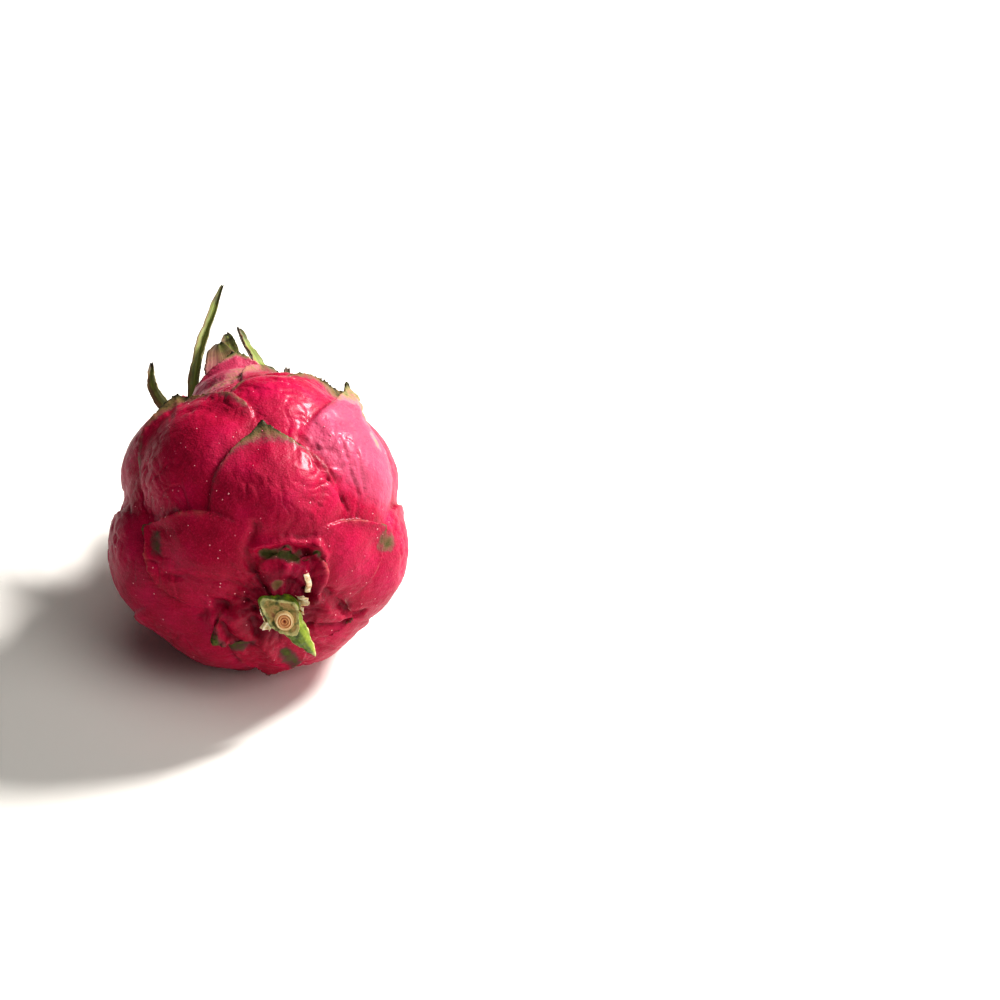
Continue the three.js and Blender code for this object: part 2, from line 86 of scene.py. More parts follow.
def smooth(low, high, x):
    t = np.clip((np.asarray(x, float) - low) / (high - low), 0, 1)
    return t * t * (3 - 2 * t)


class Meridian:
    """Half of the body's outline, measured by its own length from the stem's pole to the crown's rim."""

    def __init__(self, steps=400):
        quarter = np.linspace(0, math.pi / 2, steps)
        along = -STEM_END * np.cos(quarter) ** BLUNTNESS
        stem = np.stack([along, BODY_RADIUS * np.sin(quarter) ** BLUNTNESS], 1)
        share = np.linspace(0, 1, steps)[1:]
        narrowing = np.append(np.cos(share[:-1] * math.pi / 2) ** NECK_TAPER, 0)
        crown = np.stack([CROWN_END * share, mix(NECK_RADIUS, BODY_RADIUS, narrowing)], 1)
        self.points = np.concatenate([stem, crown])
        step = np.linalg.norm(np.diff(self.points, axis=0), axis=1)
        self.lengths = np.concatenate([[0], np.cumsum(step)])
        bands = step * math.pi * (self.points[1:, 1] + self.points[:-1, 1])
        self.areas = np.concatenate([[0], np.cumsum(bands)])
        self.total = self.lengths[-1]
        reach = 4
        at = np.arange(len(self.points))
        ahead = self.points[np.minimum(at + reach, at[-1])]
        run = ahead - self.points[np.maximum(at - reach, 0)]
        self.out = np.stack([-run[:, 1], run[:, 0]], 1) / np.linalg.norm(run, axis=1)[:, None]

    def at(self, m):
        """Distance along the axis, radius and outward direction at a length m. It runs on past the rim."""
        m = np.asarray(m, float)
        past = np.maximum(m - self.total, 0)
        along, radius, out_along, out_round = (
            np.interp(m, self.lengths, values) for values in (*self.points.T, *self.out.T)
        )
        out_along = np.where(past > 0, -math.sin(CROWN_FLARE), out_along)
        out_round = np.where(past > 0, math.cos(CROWN_FLARE), out_round)
        along = along + past * math.cos(CROWN_FLARE)
        radius = radius + past * math.sin(CROWN_FLARE)
        return along, radius, out_along, out_round


meridian = Meridian()


def place(degrees, m, height):
    """Degrees round the axis, length along the meridian and height above the bare body, to a point."""
    along, radius, out_along, out_round = meridian.at(m)
    r = np.maximum(0, radius + out_round * height)
    a = np.radians(degrees)
    return np.stack([r * np.cos(a), along + out_along * height, r * np.sin(a)], -1)


class Shells:
    """Closed shells put together as one mesh, with some facts about each of their points."""

    def __init__(self, *facts):
        self.names = facts
        self.points = []
        self.facts = []
        self.faces = []
        self.count = 0

    def add(self, points, faces, **facts):
        points = np.asarray(points, float).reshape(-1, 3)
        table = np.zeros((len(points), len(self.names)))
        for column, name in enumerate(self.names):
            table[:, column] = np.ravel(facts.get(name, 0.0))
        self.points.append(points)
        self.facts.append(table)
        self.faces.extend(tuple(self.count + i for i in face) for face in faces)
        self.count += len(points)

    def mesh(self, name):
        made = bpy.data.meshes.new(name)
        made.from_pydata(np.concatenate(self.points).tolist(), [], self.faces)
        return made


def ring_faces(rings, count):
    """Faces of a closed body: a first point, rings of points, and a last point."""
    faces = []
    last = 1 + rings * count
    for i in range(count):
        n = (i + 1) % count
        faces.append((0, 1 + i, 1 + n))
        for j in range(rings - 1):
            a, b = 1 + j * count, 1 + (j + 1) * count
            faces.append((a + i, b + i, b + n, a + n))
        a = 1 + (rings - 1) * count
        faces.append((a + n, a + i, last))
    return faces


def build_body(shells, skin):
    around, rows = 288, 170
    lengths = np.linspace(0, meridian.total, rows + 1)[1:]
    degrees = np.arange(around) * 360 / around
    d, m = np.meshgrid(degrees, lengths)
    rings = [place(d, m, skin.at(d, m))]
    rim = CROWN_END + RIM_LIP
    inward = [
        (mix(HOLLOW_MOUTH, NECK_RADIUS, 0.75), rim - 0.3),
        (mix(HOLLOW_MOUTH, NECK_RADIUS, 0.5), rim),
        (mix(HOLLOW_MOUTH, NECK_RADIUS, 0.2), rim - 0.3),
        (HOLLOW_MOUTH, rim - 1.2),
        (mix(HOLLOW_MOUTH, HOLLOW_FLOOR, 0.35), rim - 0.3 * HOLLOW_DEPTH),
        (mix(HOLLOW_MOUTH, HOLLOW_FLOOR, 0.6), rim - 0.6 * HOLLOW_DEPTH),
        (mix(HOLLOW_MOUTH, HOLLOW_FLOOR, 0.85), rim - 0.85 * HOLLOW_DEPTH),
        (HOLLOW_FLOOR, rim - HOLLOW_DEPTH),
        (0.5 * HOLLOW_FLOOR, rim - HOLLOW_DEPTH),
    ]
    a = np.radians(degrees)
    uneven = 1 + 0.04 * np.sin(5 * a) + 0.03 * np.sin(3 * a + 1)
    for radius, along in inward:
        r = radius * uneven
        rings.append(np.stack([r * np.cos(a), np.full(around, along), r * np.sin(a)], 1)[None])
    rings = np.concatenate(rings)
    pole = place(0, 0, skin.at(0, 0))[None]
    floor = np.array([[0, rim - HOLLOW_DEPTH, 0]])
    points = np.concatenate([pole, rings.reshape(-1, 3), floor])
    inner = len(inward) * around + 1
    reached = np.concatenate([[0], np.repeat(lengths, around), np.full(inner, meridian.total)])
    under = np.concatenate([np.zeros(1 + rows * around), np.ones(inner)])
    shells.add(points, ring_faces(len(rings), around), m=reached, under=under, tone=0.5, dry=0.5)


# Scales
# Leaf bases of the cactus, fused with the fruit and swollen with it, their tips free and drying. Each stands
# a golden angle on from the last, and is draped over what grew above it, from the crown down to the stem.

SCALES = 25
FIRST_ANGLE = 52.5
GOLDEN_ANGLE = 137.5
STEM_AREA = 300.0
SHORTEST = 15.0
LONGEST = 52.0
NARROWEST = 7.0
WIDEST = 20.5
SMALLEST_ROOT = 6.4
LOBE_HEIGHT = 4.9
PILLOW = 0.34
SWELL_ACROSS = 1.2
SWELL_ALONG = 0.64
BELLY = 0.45
SINK = 1.3
SCALE_THICKNESS = 0.9
MARGIN_THICKNESS = 0.8
# Near the crown scales stay shorter and narrower. Past the rim the axis is narrow, so it counts as this wide.
CROWN_SHORTER = 0.42
CROWN_NARROWER = 0.5
NARROW_AXIS = 5

# What single scales of this fruit do. Turn is in degrees round the fruit, and shift (towards the crown), sway
# and lift of the tip, and curl of the right margin, are in millimetres. Stretch, widen, swell and flare are
# times the usual length, width, swelling and lift of the margins, and slim is the share of the width that the
# tip loses. Dry is how far the tip has dried, from green to brown, pale how far it has bleached and how much
# painted highlight its flesh gets, reach how much of the scale has turned, and rim how far its margins have,
# as shares.
USUAL_HABIT = dict(turn=0, shift=0, stretch=1, sway=0, lift=0, widen=1, swell=1, slim=0, flare=1, curl=0,
                   pale=0.05, reach=0.14, rim=0)
HABITS = {
    0: dict(turn=6, stretch=0.82, lift=-0.6, dry=0.1, reach=0.004),
    1: dict(turn=14, lift=2, sway=3, dry=0.1),
    2: dict(turn=4, shift=2, stretch=1.1, dry=0.1, reach=0.015),
    3: dict(turn=-26, shift=-3, stretch=0.55, lift=-0.6, widen=1.1, flare=0.2, dry=0.12, reach=0.004),
    4: dict(turn=16, shift=-1, sway=4, dry=0.2, reach=0.015),
    5: dict(turn=8, sway=-8, dry=0.5, reach=0.015),
    6: dict(turn=-15, sway=8, dry=0.1, reach=0.015),
    8: dict(turn=13, shift=-3, stretch=0.82, sway=2, lift=0.8, dry=0.85, reach=0.2, rim=0.22),
    9: dict(turn=15, shift=-3, sway=8, lift=-0.6),
    11: dict(turn=-4, shift=5, stretch=1.05, lift=1, dry=0.95, reach=0.17, rim=0.3),
    13: dict(turn=4, shift=-4, stretch=0.98, lift=4.2, sway=4, slim=0.5, dry=0.4, pale=0.8, reach=0.27),
    14: dict(turn=8, shift=-11, sway=9, lift=2, swell=1.4, dry=0.6),
    # Its curled margin is darkened to near black: partly its own drying, partly painted shade for the shaded
    # side of the curl.
    16: dict(turn=-9, shift=-3, stretch=0.92, sway=-26, lift=2, curl=2.4, dry=1, reach=0.2, rim=1.0),
    18: dict(lift=2, dry=0.8, pale=0.3),
    19: dict(turn=4, shift=-4, lift=2.5, dry=0.9),
    21: dict(dry=0.5, reach=0.3),
    24: dict(turn=-23, lift=0.6, widen=1.45, swell=1.9, dry=0.5, pale=0.5, reach=0.1),
}


def chance(n, salt):
    x = math.sin(n * 12.9898 + salt * 78.233) * 43758.5453
    return x - math.floor(x)


def ripple(x, seed):
    """A wavering line between about -1 and 1."""
    return sum(share * np.sin(turn * x + math.tau * chance(seed, turn))
               for turn, share in ((1.0, 0.5), (2.3, 0.3), (4.1, 0.2)))


def make_scales():
    scales = []
    area = STEM_AREA
    for k in range(SCALES):
        habit = {**USUAL_HABIT, "dry": 0.35 + 0.6 * chance(k, 8), **HABITS.get(k, {})}
        grown = float(smooth(1, 9, k))
        near_crown = float(smooth(17, SCALES, k))
        share = mix(NARROWEST, WIDEST, grown) * mix(SHORTEST, LONGEST, grown)
        length = mix(SHORTEST, LONGEST, grown) * (1 - CROWN_SHORTER * near_crown) * habit["stretch"]
        middle = float(np.interp(area + share / 2, meridian.areas, meridian.lengths)) + habit["shift"]
        area += share
        scales.append(dict(
            seed=k,
            angle=FIRST_ANGLE + k * GOLDEN_ANGLE + habit["turn"] + 6 * (chance(k, 1) - 0.5),
            length=length,
            root=max(SMALLEST_ROOT, middle - BELLY * length),
            width=mix(NARROWEST, WIDEST, grown) * (1 - CROWN_NARROWER * near_crown) * habit["widen"],
            lift=0.9 + 0.9 * chance(k, 2) + near_crown + habit["lift"],
            sway=3 * (chance(k, 3) - 0.5) + habit["sway"],
            free=mix(0.72, 0.5, near_crown),
            lobe=LOBE_HEIGHT * mix(0.2, 1, grown) * (1 - 0.6 * near_crown) * habit["swell"],
            flare=(0.5 + 0.8 * chance(k, 4)) * habit["flare"],
            **{name: habit[name] for name in ("rim", "curl", "slim", "dry", "pale", "reach")},
        ))
    return scales


def half_width(v):
    """Half width of a scale from root to tip, as a share of its greatest: an egg with a drawn-out point."""
    v = np.asarray(v, float)
    egg = np.where(
        v < 0.42,
        0.62 + 0.38 * np.sin(np.minimum(v / 0.42, 1) * math.pi / 2),
        np.maximum(0, 1 - (np.maximum(v - 0.42, 0) / 0.5) ** 2.2) ** 0.75,
    )
    cusp = 0.33 * np.minimum(1, (1 - v) / 0.15) ** 0.85
    return np.maximum(0.03, (egg**4 + cusp**4) ** 0.25)


def scale_half(scale, v):
    """Half width of one scale in millimetres."""
    return scale["width"] * half_width(v) * (1 - scale["slim"] * smooth(0.25, 0.9, v))


def upper_face(scale, u, v):
    edge = u * u
    pillow = PILLOW * scale["lobe"] * np.maximum(0, 1 - edge) ** 0.8
    pillow = pillow * smooth(0.02, 0.5, v) * smooth(1.0, 0.55, v)
    rise = smooth(0, 1, (v - 0.22 * edge) / (0.36 + 0.04 * edge))
    past = np.maximum(0, (v - scale["free"]) / (1 - scale["free"]))
    bend = scale["lift"] * past**1.8
    flare = scale["flare"] * edge * edge * smooth(0.4, 0.8, v)
    flare = flare + scale["curl"] * np.maximum(0, -u) ** 5 * smooth(0.35, 0.6, v)
    waves = scale["length"] / 90 * ripple(17 * v + 9 * u, scale["seed"])
    waves = waves * edge * edge * smooth(0.45, 0.75, v)
    keel = scale["length"] / 100 * np.exp(-((u / 0.14) ** 2)) * smooth(0.5, 0.9, v)
    return mix(-SINK, SCALE_THICKNESS, rise) + pillow + bend + flare + waves + keel


def lower_face(scale, u, v):
    side = np.abs(u) ** 3 * smooth(0.5, 0.8, v)
    tip = (v - scale["free"] + 0.12) / 0.22
    loose = smooth(0.3, 0.85, np.maximum(side, tip))
    top = upper_face(scale, u, v)
    thickness = mix(SCALE_THICKNESS * 1.6, MARGIN_THICKNESS * 1.25, np.maximum(np.abs(u) ** 3, v * v))
    return mix(np.minimum(-SINK - 0.7, top - thickness), top - thickness, loose)


def turned_to(degrees, angle):
    return (degrees - angle + 180) % 360 - 180


def swelling(scales, degrees, m, radius):
    """The swellings under the scales, and the boss of flesh that the stem grows from."""
    total = 0
    for scale in scales:
        dx = np.radians(turned_to(degrees, scale["angle"])) * radius
        dm = m - (scale["root"] + BELLY * scale["length"])
        d = (dx / (SWELL_ACROSS * scale["width"])) ** 2 + (dm / (SWELL_ALONG * scale["length"])) ** 2
        total = total + (scale["lobe"] * np.maximum(0, 1 - d) ** 0.9) ** 6
    return total ** (1 / 6) + STEM_BOSS_HEIGHT * np.exp(-((m / STEM_BOSS_RADIUS) ** 2))


class Skin:
    """Heights over the whole skin, on a grid of degrees and meridian lengths, for draping scales on."""

    AROUND = 720
    ALONG = 400
    SOFT_CELLS = 4.7
    SOFT_REACH = 12

    degrees = np.arange(AROUND)[None, :] * 360 / AROUND
    lengths = np.linspace(0, meridian.total, ALONG + 1)[:, None]
    radius = meridian.at(lengths)[1]

    def __init__(self, heights):
        self.heights = heights

    def softened(self):
        """The skin as a leathery scale lies over it, without its sharp steps."""
        reach = np.arange(-self.SOFT_REACH, self.SOFT_REACH + 1)
        weights = np.exp(-0.5 * (reach / self.SOFT_CELLS) ** 2)
        weights /= weights.sum()
        soft = sum(w * np.roll(self.heights, i, 1) for i, w in zip(reach, weights))
        padded = np.pad(soft, ((self.SOFT_REACH, self.SOFT_REACH), (0, 0)), mode="edge")
        return Skin(sum(w * padded[i : i + len(soft)] for i, w in enumerate(weights)))

    def at(self, degrees, m):
        x = (np.asarray(degrees) % 360) * self.AROUND / 360
        y = np.clip(np.asarray(m) / meridian.total * self.ALONG, 0, self.ALONG - 1e-6)
        i = np.floor(x).astype(int) % self.AROUND
        j = np.floor(y).astype(int)
        after = (i + 1) % self.AROUND
        low = mix(self.heights[j, i], self.heights[j, after], x - np.floor(x))
        high = mix(self.heights[j + 1, i], self.heights[j + 1, after], x - np.floor(x))
        return mix(low, high, y - j)


def sheet_faces(rows, columns):
    """Faces of a closed blade: an upper grid of points, then the lower grid, rows from root to tip."""
    half = rows * columns
    faces = []
    for j in range(rows - 1):
        for i in range(columns - 1):
            a, b = j * columns + i, (j + 1) * columns + i
            faces.append((a, b, b + 1, a + 1))
            faces.append((half + a, half + a + 1, half + b + 1, half + b))
        a, b = j * columns, (j + 1) * columns
        faces.append((a, half + a, half + b, b))
        a, b = a + columns - 1, b + columns - 1
        faces.append((b, half + b, half + a, a))
    for i in range(columns - 1):
        a = (rows - 1) * columns + i
        faces.append((i + 1, half + i + 1, half + i, i))
        faces.append((a, half + a, half + a + 1, a + 1))
    return faces


def build_scale(shells, skin, scale):
    """Adds one scale draped over the skin, and returns the skin with the scale on it."""
    across, along = 45, 57
    u, v = np.meshgrid(np.linspace(-1, 1, across), np.linspace(0, 1, along))
    under = skin.softened()
    ragged = 1 + 0.03 * ripple(12 * v + 40 * np.sign(u), scale["seed"] + 50) * smooth(0.4, 0.7, v)
    m = scale["root"] + v * scale["length"]
    side = u * scale_half(scale, v) * ragged + scale["sway"] * v * v
    degrees = scale["angle"] + np.degrees(side / np.maximum(meridian.at(m)[1], NARROW_AXIS))
    ground = under.at(degrees, m)
    top = place(degrees, m, ground + upper_face(scale, u, v))
    bottom = place(degrees, m, ground + lower_face(scale, u, v))
    tip = np.clip((v + 0.07 * u * u - 1) / scale["reach"] + 1, 0, 1)
    tip = np.maximum(tip, scale["rim"] * smooth(0.78, 0.95, np.abs(u)) * smooth(0.45, 0.7, v))
    margin = smooth(0.8, 1, np.abs(u)) * smooth(0.58, 0.82, v)
    shells.add(
        np.concatenate([top.reshape(-1, 3), bottom.reshape(-1, 3)]),
        sheet_faces(along, across),
        m=np.tile(m.ravel(), 2),
        tip=np.tile(tip.ravel(), 2),
        margin=np.tile(margin.ravel(), 2),
        under=np.repeat([0.0, 1.0], u.size),
        tone=chance(scale["seed"], 9),
        dry=scale["dry"],
        pale=scale["pale"],
    )
    v = (skin.lengths - scale["root"]) / scale["length"]
    inside = (v >= 0) & (v <= 1)
    v = np.clip(v, 0, 1)
    side = np.radians(turned_to(skin.degrees, scale["angle"])) * np.maximum(skin.radius, NARROW_AXIS)
    u = (side - scale["sway"] * v * v) / scale_half(scale, v)
    over = under.heights + upper_face(scale, np.clip(u, -1, 1), v)
    covered = inside & (np.abs(u) <= 1)
    return Skin(np.where(covered, np.maximum(skin.heights, over), skin.heights))


def largest_body(mesh):
    """Takes away everything but the body with the most points, such as hollows shut in under the scales."""
    edges = read_edges(mesh)
    label = np.arange(len(mesh.vertices))
    while True:
        before = label.copy()
        low = np.minimum(label[edges[:, 0]], label[edges[:, 1]])
        np.minimum.at(label, edges[:, 0], low)
        np.minimum.at(label, edges[:, 1], low)
        label = label[label]
        if np.array_equal(label, before):
            break
    names, counts = np.unique(label, return_counts=True)
    keep = label == names[np.argmax(counts)]
    made = bmesh.new()
    made.from_mesh(mesh)
    made.verts.ensure_lookup_table()
    bmesh.ops.delete(made, geom=[made.verts[i] for i in np.flatnonzero(~keep)], context="VERTS")
    made.to_mesh(mesh)
    made.free()


def fused(shells, voxel):
    """One closed skin round every shell, grown together where they meet."""
    loose = bpy.data.objects.new("loose_shells", shells.mesh("loose_shells"))
    bpy.context.scene.collection.objects.link(loose)
    growth = loose.modifiers.new("grown together", "REMESH")
    growth.mode = "VOXEL"
    growth.voxel_size = voxel
    made = bpy.data.meshes.new_from_object(loose.evaluated_get(bpy.context.evaluated_depsgraph_get()))
    bpy.data.objects.remove(loose)
    largest_body(made)
    return made


def read_edges(mesh):
    flat = np.empty(len(mesh.edges) * 2, np.int32)
    mesh.edges.foreach_get("vertices", flat)
    return flat.reshape(-1, 2)


def read_points(mesh, what="co"):
    flat = np.empty(len(mesh.vertices) * 3, np.float32)
    mesh.vertices.foreach_get(what, flat)
    return flat.reshape(-1, 3).astype(float)


def write_points(mesh, points):
    mesh.vertices.foreach_set("co", points.astype(np.float32).ravel())
    mesh.update()


def neighbours_mean(values, edges):
    """The mean over each point's neighbours."""
    total = np.zeros_like(values)
    for column in range(values.shape[1]):
        total[:, column] += np.bincount(edges[:, 0], values[edges[:, 1], column], len(values))
        total[:, column] += np.bincount(edges[:, 1], values[edges[:, 0], column], len(values))
    return total / np.maximum(np.bincount(edges.ravel(), minlength=len(values)), 1)[:, None]


def nearest_facts(shells, points):
    """Facts of the shell point that lies nearest each given point, by name."""
    known = np.concatenate(shells.points)
    tree = KDTree(len(known))
    for i, point in enumerate(known):
        tree.insert(point, i)
    tree.balance()
    found = np.array([tree.find(point)[1] for point in points])
    return np.concatenate(shells.facts)[found]


def tangled(points, size, seed):
    """Smooth random values from -1 to 1 that change over about a length of size."""
    p = np.asarray(points, float) / size + 31.7 * (seed + 1)
    cell = np.floor(p).astype(np.int64)
    f = p - cell
    f = f * f * (3 - 2 * f)
    total = np.zeros(len(p))
    for corner in itertools.product((0, 1), repeat=3):
        c = cell + corner
        h = (c[:, 0] * 73856093) ^ (c[:, 1] * 19349663) ^ (c[:, 2] * 83492791) ^ (seed * 2654435)
        h = (h ^ (h >> 13)) * 1274126177
        value = ((h ^ (h >> 16)) & 0xFFFF) / 32767.5 - 1
        total += value * np.prod(np.where(corner, f, 1 - f), axis=1)
    return total


def store(mesh, name, values):
    values = np.asarray(values, np.float32)
    kind, field = ("FLOAT", "value") if values.ndim == 1 else ("FLOAT_VECTOR", "vector")
    mesh.attributes.new(name, kind, "POINT").data.foreach_set(field, values.ravel())


VOXEL = 0.52
MOST_TRIANGLES = 190000
PUCKER_REACH = 26.0

# Folds of this fruit's skin, and creases, which have a rise below 0: paths of degrees round the axis and
# millimetres from the stem, rise and half width in millimetres.
FOLDS = [
    dict(path=[(110, 20.2), (97, 19.8), (80, 20.2), (67, 20.0), (57, 20.4)], rise=1.7, width=1.5),
    dict(path=[(105, 17.4), (93, 16.8), (81, 16.2), (67, 16.2), (54, 16.8)], rise=-1.6, width=1.6),
    dict(path=[(57, 20.4), (48, 18.8), (36, 15.2), (24, 11.6), (15, 8.4)], rise=1.8, width=1.5),
    dict(path=[(50, 14.6), (36, 11.4), (20, 7.6)], rise=-1.2, width=1.2),
    dict(path=[(104, 25), (116, 20), (121, 12.4), (124, 8)], rise=-1.3, width=1.5),
    dict(path=[(14, 9), (352, 12.5), (338, 15.5), (330, 20)], rise=1.5, width=2.0),
    dict(path=[(10, 14), (352, 17), (338, 21)], rise=-1.1, width=1.2),
    dict(path=[(314, 12), (322, 16), (328, 22), (333, 30)], rise=-1.3, width=1.0),
    dict(path=[(176, 12), (195, 13.5), (212, 14)], rise=2.0, width=2.2),
    dict(path=[(184, 20), (205, 21), (221, 20.6), (239, 20.4)], rise=1.4, width=1.5),
    dict(path=[(176, 7.6), (212, 8.4), (236, 12)], rise=-1.1, width=1.2),
    dict(path=[(168, 10), (180, 18), (196, 24)], rise=-1.0, width=1.4),
    dict(path=[(198, 17.6), (216, 18), (238, 16.4)], rise=-1.1, width=1.1),
    dict(path=[(245, 12), (258, 17), (268, 22)], rise=1.2, width=1.7),
    dict(path=[(285, 10), (292, 16), (300, 22)], rise=-0.9, width=1.3),
    dict(path=[(140, 9), (146, 15), (158, 24), (168, 33)], rise=-0.7, width=1.3),
    dict(path=[(76, 48), (71, 45), (69, 42), (61, 38), (49, 35)], rise=-0.5, width=0.8),
    dict(path=[(73, 52), (66, 48), (63, 43), (54, 41)], rise=0.5, width=1.0),
    dict(path=[(69, 50), (65, 46), (61, 41), (53, 37), (44, 33)], rise=-0.45, width=0.7),
    dict(path=[(58, 52), (54, 47), (50, 43), (42, 39), (38, 34)], rise=-0.4, width=0.7),
    dict(path=[(50, 50), (46, 45), (40, 41)], rise=-0.35, width=0.7),
]

# Stains of this fruit's skin, on paths like those of the folds: how far the skin has turned like a scale's
# tip, how dry and how pale it is there, as shares, and half width in millimetres.
STAINS = [
    dict(path=[(160, 39), (156, 40.5)], width=3.0, tip=0.62, dry=0.2, pale=0),
    dict(path=[(14, 36.5), (9, 39.5)], width=3.4, tip=0.6, dry=0.5, pale=0),
    dict(path=[(276, 19), (281, 25)], width=2.8, tip=0.72, dry=0, pale=0),
    dict(path=[(236, 16), (228, 19)], width=2.4, tip=0.7, dry=0, pale=0),
    dict(path=[(104, 17.2), (93, 16.6), (81, 15.9), (68, 15.9)], width=1.7, tip=0.8, dry=0.5, pale=0),
    dict(path=[(102, 7.6), (92, 8.4)], width=1.7, tip=0.55, dry=1, pale=0),
    dict(path=[(42, 60), (38, 57)], width=1.7, tip=0.42, dry=1, pale=1),
    dict(path=[(124, 103), (112, 103), (100, 105), (88, 109), (78, 114)], width=9.0, tip=0.36, dry=0.7,
         pale=0.6),
]


def from_path(path, turn, m):
    """Distance of skin points from a path over the skin, about true to size near the stem."""
    flat = np.stack([m * np.cos(turn), m * np.sin(turn)], 1)
    angles = [math.radians(degrees) for degrees, _ in path]
    corners = [along * np.array([math.cos(a), math.sin(a)]) for a, (_, along) in zip(angles, path)]
    nearest = np.full(len(flat), np.inf)
    for a, b in itertools.pairwise(corners):
        share = np.clip((flat - a) @ (b - a) / ((b - a) @ (b - a)), 0, 1)
        nearest = np.minimum(nearest, np.linalg.norm(flat - a - share[:, None] * (b - a), axis=1))
    return nearest


def thinned(mesh, most):
    """The mesh with its flattest parts in fewer, larger triangles."""
    triangles = sum(len(face.vertices) - 2 for face in mesh.polygons)
    carrier = bpy.data.objects.new("thinned", mesh)
    bpy.context.scene.collection.objects.link(carrier)
    carrier.modifiers.new("thinned", "DECIMATE").ratio = min(1, most / triangles)
    made = bpy.data.meshes.new_from_object(carrier.evaluated_get(bpy.context.evaluated_depsgraph_get()))
    bpy.data.objects.remove(carrier)
    return made


scales = make_scales()
skin = Skin(swelling(scales, Skin.degrees, Skin.lengths, Skin.radius))
shells = Shells("m", "tip", "margin", "tone", "dry", "pale", "under")
build_body(shells, skin)
for scale in reversed(scales):
    skin = build_scale(shells, skin, scale)
fruit_mesh = fused(shells, VOXEL)

points = read_points(fruit_mesh)
edges = read_edges(fruit_mesh)
facts = nearest_facts(shells, points)
for _ in range(2):
    points = mix(points, neighbours_mean(points, edges), 0.6)
    facts = mix(facts, neighbours_mean(facts, edges), 0.7)
fact = dict(zip(shells.names, facts.T))
write_points(fruit_mesh, points)

# The flesh puckers towards the stem: folds that run away from it, crumples between them, and broad soft
# unevenness everywhere. Long fine wrinkles show where the skin has begun to dry.
turn = np.arctan2(points[:, 2], points[:, 0])
run = np.stack([BODY_RADIUS * np.cos(turn), 0.25 * fact["m"], BODY_RADIUS * np.sin(turn)], 1)
near_stem = 1 - smooth(0.35 * PUCKER_REACH, PUCKER_REACH, fact["m"])
folds = tangled(run, 10, 3) - 0.7 * np.exp(-((tangled(run, 9, 7) / 0.14) ** 2))
crumples = tangled(points, 3.2, 4) + 0.6 * tangled(points, 1.7, 14)
drying = smooth(0.05, 0.5, tangled(points, 17, 5))
wrinkles = -np.exp(-((tangled(run, 2.6, 6) / 0.2) ** 2))
bent = points + 1.6 * np.stack([tangled(points, 5, seed) for seed in (19, 20, 21)], 1)
creases = -np.exp(-((tangled(bent, 5.5, 22) / 0.13) ** 2))
creases = creases - 0.6 * np.exp(-((tangled(bent, 3.1, 23) / 0.16) ** 2))
height = 0.4 * tangled(points, 9, 1) + 0.2 * tangled(points, 4, 2) + 0.09 * tangled(points, 1.8, 15)
height += near_stem * (0.85 * folds + 0.45 * crumples)
height += drying * (1 - 0.6 * near_stem) * 0.2 * wrinkles
height += smooth(-0.3, 0.4, tangled(points, 14, 24)) * 0.34 * creases
shift_round = turn + 0.6 * tangled(points, 5, 16) / np.maximum(fact["m"], 4)
shift_along = fact["m"] + 0.6 * tangled(points, 5, 17)
for fold in FOLDS:
    away = from_path(fold["path"], shift_round, shift_along)
    height += fold["rise"] * np.exp(-((away / fold["width"]) ** 2))
for stain in STAINS:
    away = from_path(stain["path"], shift_round, shift_along) + 0.4 * tangled(points, 1.6, 18)
    share = smooth(1.3, 0.1, away / stain["width"])
    for name in ("tip", "dry", "pale"):
        fact[name] = mix(fact[name], stain[name], share)
points = points + read_points(fruit_mesh, "normal") * height[:, None]
laid = lay(points)
laid[:, 2] = np.maximum(laid[:, 2], 0)
write_points(fruit_mesh, laid)
# How far each point lies in a hollow or crease, used to paint shade into the skin's colour there.
pull = neighbours_mean(laid, edges) - laid
hollow = np.einsum("ij,ij->i", pull, read_points(fruit_mesh, "normal"))[:, None] / MM
for _ in range(5):
    hollow = mix(hollow, neighbours_mean(hollow, edges), 0.8)
for name in ("tip", "margin", "tone", "dry", "pale", "under"):
    store(fruit_mesh, name, fact[name])
store(fruit_mesh, "hollow", np.clip(hollow[:, 0] * 10, -1, 1))
# How near the stem each point is, used for the painted shade there.
store(fruit_mesh, "puckered", near_stem)
store(fruit_mesh, "run", run * MM)
fruit_mesh = thinned(fruit_mesh, MOST_TRIANGLES)


def linear(hex_colour):
    """An sRGB hex colour as linear red, green and blue, with a full alpha."""
    channels = [int(hex_colour[i : i + 2], 16) / 255 for i in (1, 3, 5)]
    return [c / 12.92 if c <= 0.04045 else ((c + 0.055) / 1.055) ** 2.4 for c in channels] + [1.0]


def add(tree, kind, links=None, out=None, stops=None, **settings):
    """Adds a node with its settings, its values and links by socket, and returns one of its outputs."""
    node = tree.nodes.new(kind if "Node" in kind else "ShaderNode" + kind)
    for name, value in settings.items():
        setattr(node, name, value)
    for name, value in (links or {}).items():
        found = [s for s in node.inputs if s.enabled and s.name == name]
        socket = node.inputs[name] if isinstance(name, int) else found[0]
        if isinstance(value, bpy.types.NodeSocket):
            tree.links.new(value, socket)
        else:
            socket.default_value = linear(value) if isinstance(value, str) and value[0] == "#" else value
    for i, (position, colour) in enumerate(stops or []):
        ramp = node.color_ramp.elements
        element = ramp[i] if i < len(ramp) else ramp.new(position)
        element.position, element.color = position, linear(colour)
    live = [s for s in node.outputs if s.enabled]
    return next((s for s in live if out in (None, s.name)), None)


def new_material(name):
    made = bpy.data.materials.new(name)
    made.use_nodes = True
    made.node_tree.nodes.clear()
    return made, made.node_tree


def finish_piece(name, mesh, materials, node):
    """A finished piece: smooth, at the origin, riding on the fruit and standing for its solid."""
    mesh.materials.clear()
    for material in materials:
        mesh.materials.append(material)
    mesh.polygons.foreach_set("use_smooth", [True] * len(mesh.polygons))
    piece = bpy.data.objects.new(name, mesh)
    bpy.context.scene.collection.objects.link(piece)
    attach(piece, "root")
    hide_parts(node)
    return piece


